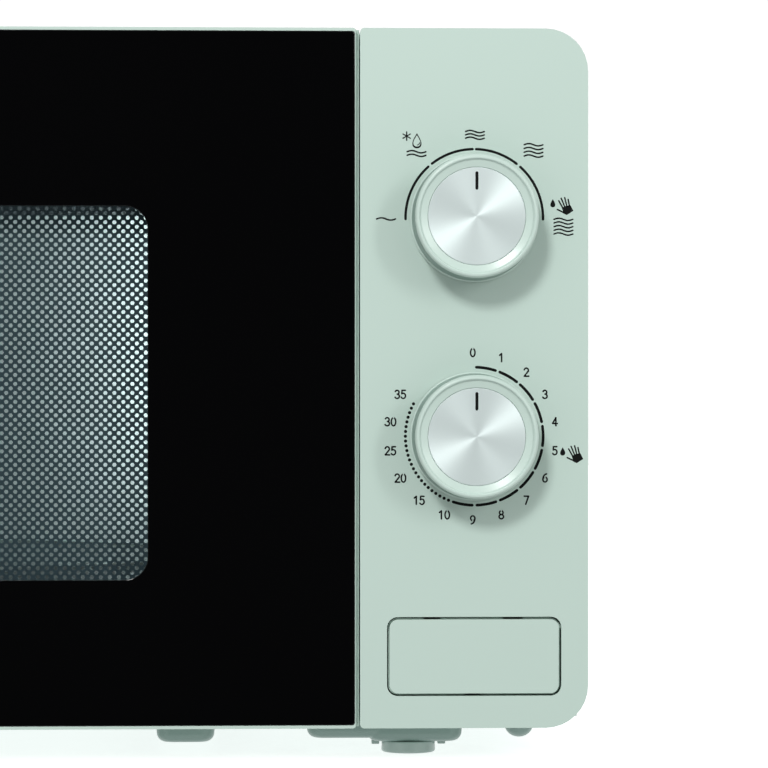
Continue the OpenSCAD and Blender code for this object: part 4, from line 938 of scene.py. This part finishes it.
for side in (1, -1):
    at = Vector((side * BOSS_X * MM, boss_y, 0))
    shells.append(turn(profile, at, "Z", 32))
    holes.append([(at + Vector((cos(a), sin(a), 0)) * BOSS_R * MM)[:2]
                  for a in [tau * i / 32 for i in range(32)]])
outline = rounded(base_low.x, base_low.y, base_high.x, base_high.y, [1 * MM] * 4, 3)
flat = plate(outline, holes, 0, STEEL * MM)
for v in flat.verts:
    v.co = Vector((v.co.x, v.co.z, UNDER * MM + v.co.y))
bmesh.ops.recalc_face_normals(flat, faces=flat.faces)
made = piece("base_plate_pressing", merged([flat] + shells), under_paint, "cabinet", 35)
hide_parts("base_plate")

# ---------------- feet
# Grey-green moulded feet, hollow underneath, each pushed into the base by a plug, with a
# small lug on either side that stops it turning.
# The feet's grey-green is painted lighter than the plastic's own colour: painted light, standing in for the light they
# lack under the oven.
foot_plastic_painted_light = surface("grey_green_foot_painted_light", "CFE2DC", "C6DAD3", 20, 0.4, 0.004, 0.16, 0.24, IOR=1.53)
FOOT = fillet([(0.0005, 1.6), (4.4, 1.6), (4.6, 0), (FOOT_R - 0.3, 0), (FOOT_R, 0.6), (FOOT_R - 0.15, FOOT_H - 0.3),
               (FOOT_R - 0.6, FOOT_H - 0.02), (2.0, FOOT_H - 0.02), (1.9, FOOT_H + 2.4), (0.0005, FOOT_H + 2.5)], 0.35)
for node, y in (("front_feet", foot_rows[0]), ("rear_feet", foot_rows[1])):
    parts = []
    for x in (-foot_x, foot_x):
        parts.append(turn(FOOT, (x * MM, y * MM, 0), "Z", 64))
        for way in (-1, 1):
            lug = bmesh.new()
            at = Matrix.Translation(((x + way * 12) * MM, y * MM, (FOOT_H - 0.75) * MM))
            bmesh.ops.create_cube(lug, size=1, matrix=at @ Matrix.Diagonal((2.8 * MM, 3.4 * MM, 1.5 * MM, 1)))
            bmesh.ops.bevel(lug, geom=lug.edges[:], offset=0.3 * MM, segments=2, profile=0.5, affect="EDGES")
            parts.append(lug)
    made = piece(node + "_moulded", merged(parts), foot_plastic_painted_light, "cabinet")
    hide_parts(node)

# ---------------- knob shafts and switchgear
# Behind the panel: a selector and a clockwork timer, each with its steel shaft.
plated = surface("bright_plated_steel", "C9CBCD", "BBBEC0", 5, 0.3, 0.002, 0.16, 0.26, Metallic=1.0)
refine("power_shaft timer_shaft", plated, 0.2)
bakelite = surface("cream_bakelite", "D6CDB8", "CBC1A9", 20, 0.5, 0.006, 0.3, 0.42)
refine("power_selector thermal_cutout", bakelite, 0.5)
refine("timer_mechanism", zinc, 0.5)

# ---------------- magnetron
# Plated steel yoke round pressed aluminium fins on a copper anode, with a waveguide to
# the port of the cooking space.
refine("magnetron_yoke waveguide", zinc, 0.3)
fins = surface("mill_aluminium", "D2D4D6", "C6C9CB", 8, 0.4, 0.003, 0.22, 0.34, Metallic=1.0)
refine("magnetron_fins", fins, 0.12)
copper = surface("oxidised_copper", "C07A54", "9C5A3C", 6, 0.6, 0.004, 0.24, 0.44, Metallic=1.0)
refine("magnetron_anode", copper, 0.6)

# ---------------- high-voltage parts
# Transformer of varnished laminations and enamelled wire, and an oil-filled capacitor
# with its diode.
laminations = surface("varnished_laminations", "3A3D40", "303336", 5, 0.5, 0.03, 0.3, 0.5, (1, 1, 14), Metallic=0.7)
refine("transformer_core", laminations, 0.4)
wire = surface("enamelled_copper_wire", "A8562A", "8A4420", 5, 0.7, 0.12, 0.22, 0.36, (1, 1, 9))
refine("transformer_windings", wire, 1.2)
refine("hv_capacitor", fins, 0.7)
refine("capacitor_clamp", zinc, 0.25)
refine("hv_diode", black_pbt, 0.4)

# ---------------- fan
# Shaded-pole motor on a moulded shroud, blowing through a duct to the magnetron, and a
# six-bladed moulded rotor.
fan_plastic = surface("fan_plastic", "D8DBDB", "D0D3D3", 30, 0.5, 0.006, 0.38, 0.5)
refine("fan_shroud air_duct", fan_plastic, 0.4)
refine("fan_motor", laminations, 0.5)
fan_low, fan_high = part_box("fan_blade")
rotor_at = middle("fan_blade")
ROTOR_R = (fan_high.x - fan_low.x) / 2 / MM - 0.5
ROTOR_D = (fan_high.y - fan_low.y) / MM
HUB_R = 10


def blade():
    """One cambered fan blade about the rotor's axis, thinning to its tip."""
    rings = []
    for i in range(7):
        t = i / 6
        r = HUB_R + (ROTOR_R - HUB_R) * t
        chord = 17 - 2 * t
        pitch = radians(42 - 14 * t)
        ring = []
        for side in (1, -1):
            for k in range(5) if side == 1 else range(4, -1, -1):
                u = k / 4 - 0.5
                camber = 1.6 * (1 - 4 * u * u) + side * (0.85 - 0.35 * t) * (1 - 3.2 * u * u)
                a = (u * chord * cos(pitch) - camber * sin(pitch) * 0.3) / r
                along = max(min(u * chord * sin(pitch) + camber, ROTOR_D / 2 - 0.1), 0.1 - ROTOR_D / 2)
                ring.append(Vector((r * sin(a), along, r * cos(a))) * MM)
        rings.append(ring)
    return skin(rings)


grey_pp = surface("grey_polypropylene", "4A4F51", "44494B", 20, 0.4, 0.006, 0.42, 0.52)
hub = turn(fillet([(1.75, -ROTOR_D / 2), (HUB_R + 0.2, -ROTOR_D / 2), (HUB_R + 1, ROTOR_D / 2 - 2),
                   (HUB_R - 0.5, ROTOR_D / 2), (1.75, ROTOR_D / 2)], 0.8), rotor_at, closed=True, steps=64)
piece("fan_rotor_hub", hub, grey_pp, "fan")
made = repeat("fan_rotor_blades", blade(), 6, rotor_at, grey_pp, "fan",
              turn_step=(0, radians(60), 0))
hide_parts("fan_blade")

# ---------------- small electrical parts
# Filter board, oven lamp and the wiring loom in its red sleeve.
solder_mask = surface("green_solder_mask", "2E5B3A", "28523A", 10, 0.4, 0.004, 0.2, 0.32)
refine("filter_board", solder_mask, 0.25)
lamp_body = surface("glazed_lamp_body", "DAD7CC", "D2CFC2", 10, 0.5, 0.004, 0.16, 0.26)
refine("oven_lamp", lamp_body, 0.6)
sleeve = surface("red_loom_sleeve", "7A241C", "6B2019", 8, 0.4, 0.01, 0.36, 0.5)
refine("wiring_loom", sleeve, 0.2)
refine("turntable_motor", zinc, 0.5)

# ---------------- studio
# A white surround that stays dark only round the lens, one large soft box above and to
# the left of the lens, and a strip light to the right.
world = bpy.data.worlds.new("studio")
bpy.context.scene.world = world
world.use_nodes = True
tree = world.node_tree
toward = add(tree, "ShaderNodeSeparateXYZ", {0: add(tree, "ShaderNodeTexCoord").outputs["Generated"]}).outputs["Y"]
level = add(tree, "ShaderNodeFloatCurve", {"Value": add(tree, "ShaderNodeMapRange", {
    "Value": toward, "From Min": -1.0}).outputs["Result"]})
curve = level.mapping.curves[0]
for x, y in ((0.012, 0.03), (0.07, 0.66), (0.25, 0.61), (0.42, 0.31), (0.5, 0.4), (0.66, 0.8), (0.85, 0.9)):
    curve.points.new(x, y)
curve.points[0].location = (0, 0.03)
curve.points[-1].location = (1, 0.9)
level.mapping.update()
surround = tree.nodes["Background"]
surround.inputs["Color"].default_value = (0.97, 1, 0.99, 1)
tree.links.new(level.outputs[0], surround.inputs["Strength"])
seen = add(tree, "ShaderNodeLightPath").outputs["Is Camera Ray"]
paper = add(tree, "ShaderNodeBackground", {"Color": (1, 1, 1, 1), "Strength": 1.05})
mixed = add(tree, "ShaderNodeMixShader", {0: seen, 1: surround.outputs[0], 2: paper.outputs[0]})
tree.links.new(mixed.outputs[0], tree.nodes["World Output"].inputs["Surface"])


def lamp(name, at, aim, size, watts, tint=(1, 1, 1), spread=180):
    """A soft box of a size in metres, aimed at a point."""
    data = bpy.data.lights.new(name, "AREA")
    data.shape = "RECTANGLE"
    data.size, data.size_y = size
    data.energy = watts
    data.color = tint
    data.spread = radians(spread)
    made = linked(name, data)
    made.location = at
    made.rotation_euler = (Vector(aim) - Vector(at)).to_track_quat("-Z", "Y").to_euler()


KNOBS = (0.18, -0.16, 0.15)          # aim of the outer lamps, between the knobs
COOL = (0.8, 0.98, 1)
lamp("key_box", (-0.26, -1.43, 1.02), KNOBS, (0.28, 0.28), 12.2)
lamp("right_strip", (1.10, -1.22, 0.62), KNOBS, (0.15, 0.5), 4)
lamp("cavity_glow", (0.09, 0.10, 0.155), (0.05, 0.154, 0.155), (0.02, 0.15), 0.125, COOL, 120)
lamp("cavity_fill", (-0.04, -0.05, 0.235), (-0.04, 0.1, 0.1), (0.2, 0.05), 0.04, COOL, 120)

# A plain pale floor. It gives no light of its own to the oven, so the black glass stays black
floor_mesh = bpy.data.meshes.new("floor")
floor_mesh.from_pydata([(-4, -4, 0), (4, -4, 0), (4, 4, 0), (-4, 4, 0)], [], [(0, 1, 2, 3)])
floor = linked("floor", floor_mesh)
pale = material("pale_floor", Base_Color=(0.9, 0.9, 0.9, 1), Roughness=1.0, Specular_IOR_Level=0.0,
                Emission_Color=(1, 1, 1, 1), Emission_Strength=0.7)[0]
floor_mesh.materials.append(pale)
floor.visible_glossy = floor.visible_diffuse = False

# A long lens, almost square to the front and aimed at its right-hand part
camera_data = bpy.data.cameras.new("camera")
camera = linked("camera", camera_data)
camera_data.lens = 160
camera_data.sensor_width = 36
camera_data.clip_end = 50
camera.location = (0.1030, FACE - 1.1976, 0.1347)
camera.rotation_euler = (radians(90 - 0.0595), 0, radians(-2.156))
bpy.context.scene.camera = camera
bpy.context.scene.view_settings.view_transform = "Standard"
